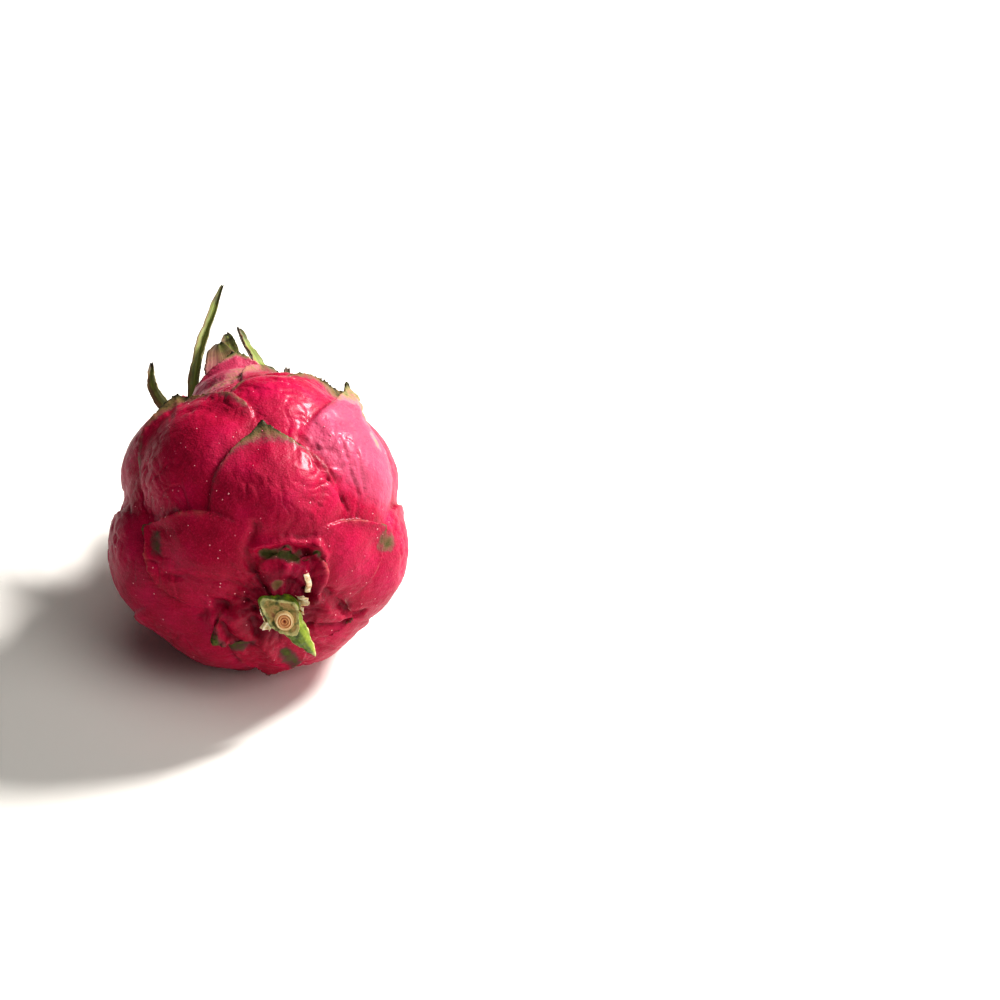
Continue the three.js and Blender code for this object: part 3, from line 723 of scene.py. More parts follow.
def pitaya_skin():
    """Skin of a ripe pitaya: a thin waxy cuticle over crimson flesh. It gives soft broken highlights on a
    fine orange-peel grain, painted shade in the creases and round the stem, a pale pink on bleached scales
    that is partly a painted highlight, and tips that turn green, brown or cream."""
    material, tree = new_material("waxy pitaya skin")
    fact = {name: add(tree, "Attribute", attribute_name=name, out="Fac")
            for name in ("tip", "margin", "tone", "dry", "pale", "under", "hollow", "puckered")}
    along = add(tree, "Attribute", attribute_name="run", out="Vector")
    spot = add(tree, "TexCoord", out="Object")
    noise = {size: add(tree, "TexNoise", {"Vector": spot, "Scale": 1 / (size * MM), "Detail": 3.0}, out="Fac")
             for size in (1.6, 2.2, 3.4, 5, 13)}
    streak = add(tree, "TexNoise", {"Vector": along, "Scale": 1 / (1.5 * MM), "Detail": 4.0}, out="Fac")
    # The pores of a real skin are 0.3 mm apart: too fine for the picture, so they are drawn at 0.7 mm.
    pores, blisters = (add(tree, "TexVoronoi", {"Vector": spot, "Scale": 1 / (size * MM)}, out="Distance")
                       for size in (0.7, 1.7))
    grain = add(tree, "TexNoise", {"Vector": spot, "Scale": 1 / (0.55 * MM), "Detail": 2.0}, out="Fac")
    blisters = add(tree, "MapRange", {"Value": blisters, "From Min": 0.42, "From Max": 0.2, "To Max": 1.0})
    blisters = add(tree, "Math", {0: blisters, 1: fact["pale"]}, operation="MULTIPLY")

    colour = add(tree, "ValToRGB", {"Fac": noise[13]},
                 stops=[(0.34, "#820024"), (0.5, "#9C0032"), (0.66, "#B00244")])
    tones = add(tree, "Mix", {"Factor": fact["tone"], "A": "#960020", "B": "#A40042"}, data_type="RGBA")
    colour = add(tree, "Mix", {"Factor": 0.35, "A": colour, "B": tones}, data_type="RGBA")
    wander = add(tree, "Math", {0: noise[5], 1: noise[1.6]})
    wander = add(tree, "Math", {0: wander, 1: 0.7, 2: -0.7}, operation="MULTIPLY_ADD")
    begun = add(tree, "MapRange", {"Value": fact["tip"], "From Max": 0.25})
    wander = add(tree, "Math", {0: wander, 1: begun, 2: fact["tip"]}, operation="MULTIPLY_ADD")
    green = add(tree, "ValToRGB", {"Fac": wander}, stops=[
        (0.0, "#A00428"), (0.3, "#7A1830"), (0.55, "#583434"),
        (0.75, "#4A4A22"), (0.92, "#525C24"), (1.0, "#2C3016")])
    brown = add(tree, "ValToRGB", {"Fac": wander}, stops=[
        (0.0, "#960A30"), (0.2, "#7C2E3C"), (0.4, "#7E5242"),
        (0.6, "#6E5836"), (0.8, "#3E3420"), (1.0, "#130D08")])
    cream = add(tree, "ValToRGB", {"Fac": wander}, stops=[
        (0.0, "#C02E56"), (0.25, "#CC7484"), (0.5, "#B4826C"),
        (0.72, "#8E8458"), (0.9, "#5A5636"), (1.0, "#1E160F")])
    dried = add(tree, "Mix", {"Factor": fact["dry"], "A": green, "B": brown}, data_type="RGBA")
    dried = add(tree, "Mix", {"Factor": fact["pale"], "A": dried, "B": cream}, data_type="RGBA")
    patchy = add(tree, "MapRange", {"Value": noise[3.4], "From Min": 0.42, "From Max": 0.62, "To Max": 0.7})
    below = add(tree, "ValToRGB", {"Fac": noise[5]},
                stops=[(0.35, "#8A2C40"), (0.5, "#6E5A3C"), (0.65, "#4C5630")])
    margin = add(tree, "Math", {0: fact["margin"], 1: patchy}, operation="MULTIPLY")
    # Each layer over the flesh: what it follows, from and to which of its values, how strong, and its colour.
    layers = [
        (streak, 0.5, 0.78, 0.24, "#C4144A"),
        (streak, 0.48, 0.28, 0.28, "#6C0016"),
        (grain, 0.5, 0.72, 0.3, "#D02C5C"),
        (pores, 0.3, 0.1, 0.3, "#CC3058"),
        # Painted shade: the skin darker towards the stem.
        (fact["puckered"], 0, 1, 0.35, "#7A001C"),
        # The pale pink of bleached scales: partly their own colour, partly a painted highlight.
        (fact["pale"], 0, 1, 0.5, "#C86C88"),
        (margin, 0, 1, 1, "#9A6450"),
        # Painted shade: deep wine in the creases and hollows.
        (fact["hollow"], 0.04, 0.6, 0.62, "#46000F"),
        # Painted shade: darkest right round the stem, in the depression it grows from.
        (fact["puckered"], 0.85, 1, 0.5, "#4A0014"),
        (fact["under"], 0.45, 0.9, 1, below),
        (wander, 0.02, 0.3, 1, dried),
    ]
    for value, low, high, most, over in layers:
        share = add(tree, "MapRange", {"Value": value, "From Min": low, "From Max": high, "To Max": most})
        colour = add(tree, "Mix", {"Factor": share, "A": colour, "B": over}, data_type="RGBA")

    bump = add(tree, "Bump", {"Height": pores, "Strength": 0.7, "Distance": 0.1 * MM})
    for height, strength, depth in ((grain, 0.7, 0.16), (blisters, 0.6, 0.14), (streak, 0.5, 0.12),
                                    (noise[1.6], 0.5, 0.24), (noise[3.4], 0.5, 0.4)):
        bump = add(tree, "Bump", {"Height": height, "Strength": strength, "Distance": depth * MM,
                                  "Normal": bump})
    rough = add(tree, "MapRange", {"Value": noise[2.2], "From Min": 0.3, "From Max": 0.7,
                                   "To Min": 0.4, "To Max": 0.58})
    duller = add(tree, "MapRange", {"Value": wander, "From Min": 0.1, "From Max": 0.6, "To Max": 0.2})
    shader = add(tree, "BsdfPrincipled", {
        "Base Color": colour, "Roughness": add(tree, "Math", {0: rough, 1: duller}), "Normal": bump,
        "IOR": 1.45, "Specular IOR Level": 0.12, "Coat Weight": 0.09, "Coat Roughness": 0.2,
        "Subsurface Weight": 0.05, "Subsurface Scale": 0.002, "Subsurface Radius": (1.0, 0.1, 0.15)})
    add(tree, "OutputMaterial", {"Surface": shader})
    return material


skin_material = pitaya_skin()
finish_piece("fruit_skin", fruit_mesh, [skin_material], "fruit")

# Crown bracts
# The last leaves before the flower: long narrow straps, folded up at their margins, that stand round the
# hollow. They are fused with the neck at the foot, and dry out olive, tan and black towards the tip.

BRACT_ROOT = 10.0

# Angle and twist are in degrees. Length past the rim, half width, lean outwards and sway round the fruit of
# the tip, bow of the middle and fold of the margins are in millimetres. Blunt is high for a rounded end.
# Pink, dry and olive say how far it still is, or has turned, as shares.
CROWN = [
    dict(angle=158, length=46, width=2.7, lean=-10, sway=-22,
         fold=1.7, twist=75, pink=0.1, dry=0.1, olive=0.8),
    dict(angle=105, length=22, width=5.6, lean=0.5, sway=-1,
         fold=1.0, twist=0, pink=1.0, dry=0.2, blunt=7),
    dict(angle=88, length=32, width=3.0, lean=-3, sway=0,
         fold=1.2, twist=-20, pink=0.05, dry=0.8, blunt=6, olive=0.5),
    dict(angle=50, length=29, width=4.2, lean=-1, sway=8, fold=1.8, twist=10, pink=0.0, dry=0.1),
    dict(angle=12, length=15, width=4.0, lean=4, sway=5, fold=1.6, twist=-25, pink=0.5, dry=0.5),
    dict(angle=335, length=21, width=4.8, lean=7, sway=-5, fold=1.5, twist=15, pink=0.3, dry=0.2),
    dict(angle=304, length=38, width=4.0, lean=7, sway=8, fold=2.2, twist=45, pink=0.2, dry=0.4),
    dict(angle=268, length=43, width=4.6, lean=12, sway=-7,
         fold=2.0, twist=-40, pink=0.35, dry=0.15, olive=0.4),
    dict(angle=232, length=30, width=5.2, lean=7, sway=5, fold=1.6, twist=20, pink=0.5, dry=0.5),
    dict(angle=202, length=15, width=4.0, lean=4, sway=-3, fold=1.4, twist=0, pink=0.6, dry=0.6),
    dict(angle=172, length=31, width=2.5, lean=8, sway=-2,
         fold=1.2, twist=60, pink=0.1, dry=0.4, bow=7, olive=0.5),
]
BLUNT = 2.4


def bract_points(bract, u, v, upper):
    length = BRACT_ROOT + bract["length"]
    past = np.maximum(0, v - BRACT_ROOT / length) / (1 - BRACT_ROOT / length)
    sunk = mix(-2.8, -0.6, smooth(0.1, 0.9, v * length / BRACT_ROOT))
    spine = place(bract["angle"], meridian.total - BRACT_ROOT + v * length, sunk)
    a = math.radians(bract["angle"])
    out = np.array([math.cos(a), 0, math.sin(a)])
    side = np.array([-math.sin(a), 0, math.cos(a)])
    seed = bract["angle"]
    lean = bract["lean"] * past**1.6 + 0.5 * ripple(7 * v, seed) * past
    lean = lean + bract.get("bow", 0) * np.sin(math.pi * past**0.8)
    sway = bract["sway"] * past**1.4 + 0.5 * ripple(6 * v, seed + 1) * past
    spine = spine + out * lean[..., None] + side * sway[..., None]
    turn = (math.radians(bract["twist"]) * past)[..., None]
    across = side * np.cos(turn) + out * np.sin(turn)
    upwards = out * np.cos(turn) - side * np.sin(turn)
    narrowing = (1 - v ** bract.get("blunt", BLUNT)) ** 0.8
    half = bract["width"] * (0.16 + 0.84 * narrowing) * (1 + 0.45 * (1 - smooth(0, 0.4, v)))
    half = half * (1 + 0.07 * ripple(26 * v + 30 * np.sign(u), seed + 2) * smooth(0.2, 0.5, v))
    thickness = mix(1.9, 0.8, smooth(0, 0.5, v))
    edge = np.abs(u)
    fold = bract["fold"] * edge**1.5 * smooth(0.1, 0.45, v) * (1 - 0.6 * v**3)
    crinkle = 0.35 * ripple(30 * v + 11 * np.sign(u), seed + 3) * edge**2 * smooth(0.25, 0.5, v)
    veins = 0.12 * np.cos(9 * u) * smooth(0.1, 0.4, v) * (1 - edge)
    height = (0.5 if upper else -0.5) * thickness * (1 - 0.25 * edge) + fold + crinkle + veins
    return spine + across * (half * u)[..., None] + upwards * height[..., None]


def dried_bract():
    """Withering cactus bract: a thin leathery leaf with a dull wax. It gives lengthwise fibres, olive and tan
    sides that meet at the keel, and a nearly black brittle tip."""
    material, tree = new_material("withering cactus bract")
    fact = {name: add(tree, "Attribute", attribute_name=name, out="Fac")
            for name in ("along", "across", "pink", "dry", "olive")}
    fibre = add(tree, "Attribute", attribute_name="fibre", out="Vector")
    spot = add(tree, "TexCoord", out="Object")
    fibres = add(tree, "TexNoise", {"Vector": fibre, "Scale": 1 / (0.7 * MM), "Detail": 3.0}, out="Fac")
    blotch = add(tree, "TexNoise", {"Vector": spot, "Scale": 1 / (4 * MM), "Detail": 3.0}, out="Fac")

    olive = add(tree, "ValToRGB", {"Fac": fibres},
                stops=[(0.3, "#5C6A24"), (0.5, "#74822E"), (0.7, "#8C963E")])
    tan = add(tree, "ValToRGB", {"Fac": fibres}, stops=[(0.3, "#6E5034"), (0.5, "#866444"), (0.7, "#9C7E52")])
    rosy = add(tree, "ValToRGB", {"Fac": fibres},
               stops=[(0.3, "#8A4450"), (0.55, "#9C585E"), (0.7, "#A86E68")])
    uneven = add(tree, "Math", {0: blotch, 1: 0.5}, operation="SUBTRACT")
    halves = add(tree, "Math", {0: fact["across"], 1: uneven})
    halves = add(tree, "Math", {0: halves, 1: fact["olive"]}, operation="SUBTRACT")
    patchy = add(tree, "MapRange", {"Value": blotch, "From Min": 0.35, "From Max": 0.65})
    patchy = add(tree, "Math", {0: fact["dry"], 1: patchy}, operation="MULTIPLY")
    lower = add(tree, "MapRange", {"Value": fact["along"], "From Min": 1.0, "From Max": 0.6})
    lower = add(tree, "Math", {0: fact["pink"], 1: lower}, operation="MULTIPLY")
    rim = add(tree, "Math", {0: fact["across"]}, operation="ABSOLUTE")
    end = add(tree, "Math", {0: uneven, 1: 0.2, 2: fact["along"]}, operation="MULTIPLY_ADD")
    # Each layer as in the skin: what it follows, from and to which of its values, how strong, and its colour.
    layers = [
        (halves, -0.25, 0.25, 1, tan),
        (patchy, 0, 1, 1, "#5A4A30"),
        (lower, 0, 1, 1, rosy),
        (fact["along"], 0.34, 0.12, 1, "#98082E"),
        (rim, 0.8, 1.0, 0.6, "#4A3A26"),
        (end, 0.84, 1.0, 1, "#2A2114"),
    ]
    colour = olive
    for value, low, high, most, over in layers:
        share = add(tree, "MapRange", {"Value": value, "From Min": low, "From Max": high, "To Max": most})
        colour = add(tree, "Mix", {"Factor": share, "A": colour, "B": over}, data_type="RGBA")
    bump = add(tree, "Bump", {"Height": fibres, "Strength": 0.5, "Distance": 0.16 * MM})
    rough = add(tree, "MapRange", {"Value": blotch, "From Min": 0.3, "From Max": 0.7,
                                   "To Min": 0.45, "To Max": 0.68})
    shader = add(tree, "BsdfPrincipled", {
        "Base Color": colour, "Roughness": rough, "Normal": bump, "IOR": 1.45,
        "Sheen Weight": 0.05, "Subsurface Weight": 0.05, "Subsurface Scale": 0.002})
    add(tree, "OutputMaterial", {"Surface": shader})
    return material


bracts = Shells("along", "across", "pink", "dry", "olive", "x", "y", "z")
across, along = 17, 61
u, v = np.meshgrid(np.linspace(-1, 1, across), np.linspace(0, 1, along))
for bract in CROWN:
    sides = [bract_points(bract, u, v, upper).reshape(-1, 3) for upper in (True, False)]
    fibre = [u * bract["width"], 0.08 * v * bract["length"], np.full(u.shape, bract["angle"])]
    fibre = np.stack(fibre, -1).reshape(-1, 3)
    fibre = np.concatenate([fibre, fibre + [0, 0, 5]])
    bracts.add(
        np.concatenate(sides), sheet_faces(along, across),
        along=np.tile(v.ravel(), 2), across=np.tile(u.ravel(), 2), pink=bract["pink"], dry=bract["dry"],
        olive=bract.get("olive", 0.0),
        x=fibre[:, 0], y=fibre[:, 1], z=fibre[:, 2],
    )
bract_mesh = bracts.mesh("crown_bracts")
bract_facts = dict(zip(bracts.names, np.concatenate(bracts.facts).T))
for name in ("along", "across", "pink", "dry", "olive"):
    store(bract_mesh, name, bract_facts[name])
store(bract_mesh, "fibre", np.stack([bract_facts[axis] for axis in "xyz"], 1) * MM)
write_points(bract_mesh, lay(read_points(bract_mesh)))
finish_piece("crown_bracts", bract_mesh, [dried_bract()], "fruit")

# Stem stub
# The three-ribbed stem of the cactus, cut short on the slant with a blade. Its rind is green and waxy, the
# cut face has dried to a mottled tan, and one rib tore off long and lies over the fruit.

STUB_RADIUS = 4.8
STUB_COLLAR = -47.2
STUB_END = -51.8
STUB_SLANT = 0.36
SLANT_ASIDE = 0.4
# The dried cut face sinks in: share of the stub's radius, and depth in millimetres.
CUT_FACE = [(0.15, 0.5), (0.35, 0.55), (0.55, 0.6), (0.7, 0.62), (0.8, 0.55), (0.88, 0.35), (0.95, 0.05)]
# Ribs of the stem: angle in degrees, and how far each stands out in millimetres.
RIBS = [(141, 3.4), (40, 0.9), (304, 2.2)]
RIB_SPREAD = 26
TORN_ANGLE = 300
TORN_REACH = 19.5
TORN_WIDTH = 4.4
TORN_TIP = -50.0
TORN_RIDGE = 0.3
CORE_RADIUS = 2.9
CORE_X = 0.4
CORE_Z = -1.2


def stub_radius(degrees, grow):
    reach = sum(reach * np.exp(-((turned_to(degrees, angle) / RIB_SPREAD) ** 2)) for angle, reach in RIBS)
    return reach * grow


def build_stub(shells):
    around = 180
    degrees = np.arange(around) * 360 / around
    a = np.radians(degrees)
    rings, cut, edge = [], [], []

    def ring(share, inward, depth):
        """share runs from the cut rim (0) to the collar (1); inward is the share of the radius kept."""
        swell = mix(1, 1.14, share)
        grow = np.interp(share, [0, 0.5, 1], [0.9, 1.0, 0.3])
        r = (STUB_RADIUS * swell + stub_radius(degrees, grow)) * inward
        r = r + 0.12 * ripple(9 * a, 5) * (inward > 0.8)
        slant = STUB_SLANT * (r * np.sin(a) - SLANT_ASIDE * r * np.cos(a)) * (1 - share)
        lip = 0.35 * ripple(7 * a, 8) * (1 - share) * smooth(0.8, 1, inward)
        along = mix(STUB_END, STUB_COLLAR, share) + slant + depth + lip
        rings.append(np.stack([r * np.cos(a), along, r * np.sin(a)], 1))

    for inward, depth in CUT_FACE:
        ring(0, inward, depth)
        cut.append(np.full(around, float(smooth(0.98, 0.85, inward)) if inward < 0.9 else 0.4))
        edge.append(np.full(around, 1.0 if inward > 0.85 else 0.0))
    for share in (0, 0.08, 0.2, 0.35, 0.5, 0.65, 0.8, 0.9, 1.0):
        ring(share, 1.0, 0)
        cut.append(np.zeros(around))
        edge.append(np.full(around, 1.0 if share < 0.05 else 0.0))
    first = np.array([[0, STUB_END + 0.5, 0]])
    last = np.array([[0, STUB_COLLAR + 3, 0]])
    points = np.concatenate([first, *rings, last])
    cut = np.concatenate([[1], *cut, [0]])
    edge = np.concatenate([[0], *edge, [0]])
    shells.add(points, ring_faces(len(rings), around), cut=cut, edge=edge)


def build_torn_rib(shells):
    across, along = 25, 61
    u, v = np.meshgrid(np.linspace(-1, 1, across), np.linspace(0, 1, along))
    a = math.radians(TORN_ANGLE)
    out = np.array([math.cos(a), 0, math.sin(a)])
    side = np.array([-out[2], 0, out[0]])
    reach = mix(1.5, TORN_REACH, v)
    ridge = mix(STUB_END + 0.4, TORN_TIP - 1.4, v) - 0.8 * np.sin(math.pi * v) + 0.15 * ripple(12 * v, 3)
    ragged = 1 + 0.08 * ripple(18 * v + 20 * np.sign(u), 6)
    half = (TORN_WIDTH * (1 - v**1.3) ** 0.8 + 0.35) * ragged
    aside = np.abs(u - TORN_RIDGE)
    fall = 2.1 * aside ** 1.4 * (1 - 0.5 * v) + 0.1 * ripple(14 * u + 2 * v, 4)
    thick = mix(3.6, 1.1, v) * (1 - 0.6 * np.abs(u))
    sides = []
    for depth in (fall, fall + thick):
        along_axis = (ridge + depth)[..., None] * np.array([0, 1, 0])
        sides.append((out * reach[..., None] + side * (u * half)[..., None] + along_axis).reshape(-1, 3))
    edge = np.maximum(smooth(0.86, 1, np.abs(u)), smooth(0.84, 0.95, v))
    # Painted light: the rib's facet that faces the light is lighter, and a painted shade line runs along the
    # ridge, fading towards the tip.
    facet = smooth(-0.1, 0.1, u - TORN_RIDGE) - 0.8 * np.exp(-((aside / 0.1) ** 2)) * (1 - v)
    shells.add(
        np.concatenate(sides), sheet_faces(along, across),
        edge=np.tile(edge.ravel(), 2), facet=np.tile(facet.ravel(), 2), long=1.0,
    )


def stem_rind():
    """Rind of a cactus stem: waxy green skin over fibrous flesh. It gives a satin green with fibres along the
    rib, pale worn edges, and a cut face dried to mottled tan and grey-green. The torn rib's facet towards the
    light is painted lighter, and a painted shade line runs along its ridge."""
    material, tree = new_material("waxy cactus rind")
    fact = {name: add(tree, "Attribute", attribute_name=name, out="Fac")
            for name in ("cut", "edge", "facet", "long")}
    spot = add(tree, "TexCoord", out="Object")
    blotch = add(tree, "TexNoise", {"Vector": spot, "Scale": 1 / (2.2 * MM), "Detail": 4.0}, out="Fac")
    fine = add(tree, "TexNoise", {"Vector": spot, "Scale": 1 / (0.6 * MM), "Detail": 3.0}, out="Fac")

    green = add(tree, "ValToRGB", {"Fac": blotch},
                stops=[(0.3, "#2C3A08"), (0.5, "#566C12"), (0.7, "#78901E")])
    light = add(tree, "ValToRGB", {"Fac": blotch},
                stops=[(0.3, "#6A8018"), (0.5, "#90A42A"), (0.7, "#B2BC4C")])
    face = add(tree, "ValToRGB", {"Fac": blotch},
               stops=[(0.3, "#262C0C"), (0.42, "#60602A"), (0.55, "#A08450"), (0.68, "#7C5230")])
    worn = add(tree, "MapRange", {"Value": blotch, "From Min": 0.4, "From Max": 0.6,
                                  "To Min": 0.25, "To Max": 0.95})
    worn = add(tree, "Math", {0: fact["edge"], 1: worn}, operation="MULTIPLY")
    colour = green
    # The lighter green on the rib's facet towards the light is painted light.
    for share, over in ((fact["facet"], light), (fact["cut"], face), (worn, "#C2BC84")):
        colour = add(tree, "Mix", {"Factor": share, "A": colour, "B": over}, data_type="RGBA")
    bump = add(tree, "Bump", {"Height": fine, "Strength": 0.6, "Distance": 0.25 * MM})
    rough = add(tree, "MapRange", {"Value": fact["cut"], "To Min": 0.38, "To Max": 0.7})
    shader = add(tree, "BsdfPrincipled", {
        "Base Color": colour, "Roughness": rough, "Normal": bump, "IOR": 1.45,
        "Subsurface Weight": 0.08, "Subsurface Scale": 0.002})
    add(tree, "OutputMaterial", {"Surface": shader})
    return material


RIND_VOXEL = 0.2
stub = Shells("cut", "edge", "facet", "long")
build_stub(stub)
build_torn_rib(stub)
rind_mesh = fused(stub, RIND_VOXEL)
points = read_points(rind_mesh)
edges = read_edges(rind_mesh)
facts = nearest_facts(stub, points)
for _ in range(2):
    points = mix(points, neighbours_mean(points, edges), 0.5)
    facts = mix(facts, neighbours_mean(facts, edges), 0.6)
write_points(rind_mesh, points)
height = 0.14 * tangled(points, 1.6, 11) + 0.08 * tangled(points, 0.7, 12)
points = points + read_points(rind_mesh, "normal") * height[:, None]
write_points(rind_mesh, lay(points))
for name, values in zip(stub.names, facts.T):
    store(rind_mesh, name, values)
rind_material = stem_rind()
finish_piece("stem_rind_skin", rind_mesh, [rind_material], "stem_rind")

# Papery peel
# Dead outer skin of the stem, split and curled away from the collar as it dried: thin, brittle and cream.

# Angle of the middle and angle covered, in degrees; height up the collar, curl outwards, and reach, in mm
PEELS = [
    dict(angle=24, cover=40, foot=-46.4, reach=3.4, curl=3.0),
    dict(angle=356, cover=30, foot=-46.2, reach=4.2, curl=1.4),
    dict(angle=190, cover=70, foot=-46.8, reach=4.9, curl=0.5),
    dict(angle=234, cover=34, foot=-46.0, reach=2.4, curl=3.6),
]
PEEL_THICKNESS = 0.22


def papery_peel():
    """Dried plant epidermis: a brittle papery film. It gives a matt cream with tan veins and brown edges."""
    material, tree = new_material("dried papery epidermis")
    spot = add(tree, "TexCoord", out="Object")
    blotch = add(tree, "TexNoise", {"Vector": spot, "Scale": 1 / (1.5 * MM), "Detail": 4.0}, out="Fac")
    colour = add(tree, "ValToRGB", {"Fac": blotch},
                 stops=[(0.3, "#B48A5E"), (0.46, "#E6CCA2"), (0.66, "#F8EEDA")])
    bump = add(tree, "Bump", {"Height": blotch, "Strength": 0.5, "Distance": 0.2 * MM})
    shader = add(tree, "BsdfPrincipled", {
        "Base Color": colour, "Roughness": 0.62, "Normal": bump, "IOR": 1.45,
        "Subsurface Weight": 0.15, "Subsurface Scale": 0.001})
    add(tree, "OutputMaterial", {"Surface": shader})
    return material


peels = Shells()
across, along = 21, 15
u, v = np.meshgrid(np.linspace(-1, 1, across), np.linspace(0, 1, along))
for n, peel in enumerate(PEELS):
    ragged = 1 + 0.25 * ripple(4 * u, n + 20)
    degrees = peel["angle"] + 0.5 * peel["cover"] * u * (1 - 0.35 * v)
    curl = peel["curl"] * v**2 * (1 + 0.2 * ripple(2.5 * u, n + 30))
    r = STUB_RADIUS * 1.05 + stub_radius(degrees, 0.9) + 0.25 + curl
    a = np.radians(degrees)
    reach = peel["foot"] - peel["reach"] * (v - 0.25 * v**2) * ragged + 0.2 * ripple(9 * u, n)
    outer = np.stack([r * np.cos(a), reach, r * np.sin(a)], -1)
    r = r - PEEL_THICKNESS
    inner = np.stack([r * np.cos(a), reach - 0.5 * PEEL_THICKNESS * v, r * np.sin(a)], -1)
    peels.add(np.concatenate([outer.reshape(-1, 3), inner.reshape(-1, 3)]), sheet_faces(along, across))

# A sliver of the same dead skin stands beside the stem, its flat side to the front.
SLIVER = dict(degrees=(56, 31), m=(12.4, 8.8), width=0.85, stands=1.3, depth=1.6)
across, along = 9, 25
u, v = np.meshgrid(np.linspace(-1, 1, across), np.linspace(0, 1, along))
degrees, m = mix(*SLIVER["degrees"], v), mix(*SLIVER["m"], v)
spine = place(degrees, m, skin.at(degrees, m) + SLIVER["stands"])
ragged = SLIVER["width"] * u * (1 + 0.15 * ripple(8 * v + 5 * np.sign(u), 40))
front = spine + np.stack([ragged, 0.25 * u * u, 0 * u], -1)
sides = [front, front + [0, SLIVER["depth"], 0]]
peels.add(np.concatenate([side.reshape(-1, 3) for side in sides]), sheet_faces(along, across))
peel_mesh = peels.mesh("papery_peel")
write_points(peel_mesh, lay(read_points(peel_mesh)))
peel_material = papery_peel()
finish_piece("papery_peel", peel_mesh, [peel_material], "stem_rind")

# Woody core
# The tan pith and wood in the middle of the cut stem, which shrank less than the flesh round it and stands a
# little proud, with rings and a brown pit.

CORE_DEPTH = 5.5
CORE_PROUD = 0.35


def pithy_wood():
    """Dried cactus wood: pale fibrous rings round brown pith. It gives matt cream and orange-brown rings."""
    material, tree = new_material("pithy cactus wood")
    ring = add(tree, "Attribute", attribute_name="ring", out="Fac")
    spot = add(tree, "TexCoord", out="Object")
    fine = add(tree, "TexNoise", {"Vector": spot, "Scale": 1 / (0.5 * MM), "Detail": 3.0}, out="Fac")
    blotch = add(tree, "TexNoise", {"Vector": spot, "Scale": 1 / (1.6 * MM), "Detail": 2.0}, out="Fac")
    shifted = add(tree, "Math", {0: blotch, 1: 0.16, 2: ring}, operation="MULTIPLY_ADD")
    rings = add(tree, "ValToRGB", {"Fac": shifted}, stops=[
        (0.08, "#4A2412"), (0.22, "#A8582E"), (0.34, "#DCA46C"), (0.46, "#A45A30"), (0.58, "#E2B480"),
        (0.72, "#BC7A44"), (0.86, "#F4DEB0"), (1.0, "#DCBC84")])
    fibres = add(tree, "Math", {0: fine, 1: 0.3}, operation="MULTIPLY")
    colour = add(tree, "Mix", {"Factor": fibres, "A": rings, "B": "#8A6238"}, data_type="RGBA")
    bump = add(tree, "Bump", {"Height": fine, "Strength": 0.6, "Distance": 0.2 * MM})
    shader = add(tree, "BsdfPrincipled", {
        "Base Color": colour, "Roughness": 0.66, "Normal": bump, "IOR": 1.45,
        "Subsurface Weight": 0.1, "Subsurface Scale": 0.001})
    add(tree, "OutputMaterial", {"Surface": shader})
    return material


core = Shells("ring")
around = 96
a = np.arange(around) * math.tau / around
face = STUB_END - CORE_PROUD
core_rings, core_facts = [], []
for share in np.linspace(0.06, 0.97, 30):
    r = share * CORE_RADIUS * (1 + 0.03 * ripple(3 * a, 2))
    spiral = share * 4.2 - a / math.tau
    relief = 0.18 * np.cos(math.tau * spiral) * smooth(0.1, 0.3, share) - 0.5 * smooth(0.25, 0.0, share)
    relief = relief - 0.35 * smooth(0.86, 1.0, share)
    slant = STUB_SLANT * (CORE_Z + r * np.sin(a) - SLANT_ASIDE * (CORE_X + r * np.cos(a)))
    core_rings.append(np.stack([CORE_X + r * np.cos(a), face - relief + slant, CORE_Z + r * np.sin(a)], 1))
    core_facts.append(np.full(around, share))
for depth in (0.5, 1.2, 2.5, CORE_DEPTH):
    r = CORE_RADIUS * (1 + 0.02 * ripple(4 * a, 3))
    level = np.full(around, face + depth)
    core_rings.append(np.stack([CORE_X + r * np.cos(a), level, CORE_Z + r * np.sin(a)], 1))
    core_facts.append(np.ones(around))
first = np.array([[CORE_X, face + 0.5, CORE_Z]])
last = np.array([[CORE_X, face + CORE_DEPTH, CORE_Z]])
core.add(np.concatenate([first, *core_rings, last]), ring_faces(len(core_rings), around),
         ring=np.concatenate([[0], *core_facts, [1]]))
core_mesh = core.mesh("stem_core_wood")
store(core_mesh, "ring", np.concatenate(core.facts)[:, 0])
write_points(core_mesh, lay(read_points(core_mesh)))
finish_piece("stem_core_wood", core_mesh, [pithy_wood()], "stem_core")

# Flower scar
# What the flower left in the hollow of the crown when it withered and dropped: a thin ragged brown cup on
# the floor, the stump of the style, and a tuft of shrivelled stamens.


def dry_scar():
    """Withered flower tissue: dry, brittle, corky. It gives matt browns with black creases and tan tips."""
    material, tree = new_material("withered flower tissue")
    spot = add(tree, "TexCoord", out="Object")
    blotch = add(tree, "TexNoise", {"Vector": spot, "Scale": 1 / (1.4 * MM), "Detail": 4.0}, out="Fac")
    colour = add(tree, "ValToRGB", {"Fac": blotch},
                 stops=[(0.3, "#1E130C"), (0.46, "#4A3020"), (0.6, "#755236"), (0.75, "#A68358")])
    bump = add(tree, "Bump", {"Height": blotch, "Strength": 0.8, "Distance": 0.35 * MM})
    shader = add(tree, "BsdfPrincipled", {
        "Base Color": colour, "Roughness": 0.82, "Normal": bump, "IOR": 1.4, "Sheen Weight": 0.05})
    add(tree, "OutputMaterial", {"Surface": shader})
    return material


SCAR_FLOOR = CROWN_END + RIM_LIP - HOLLOW_DEPTH + 0.3
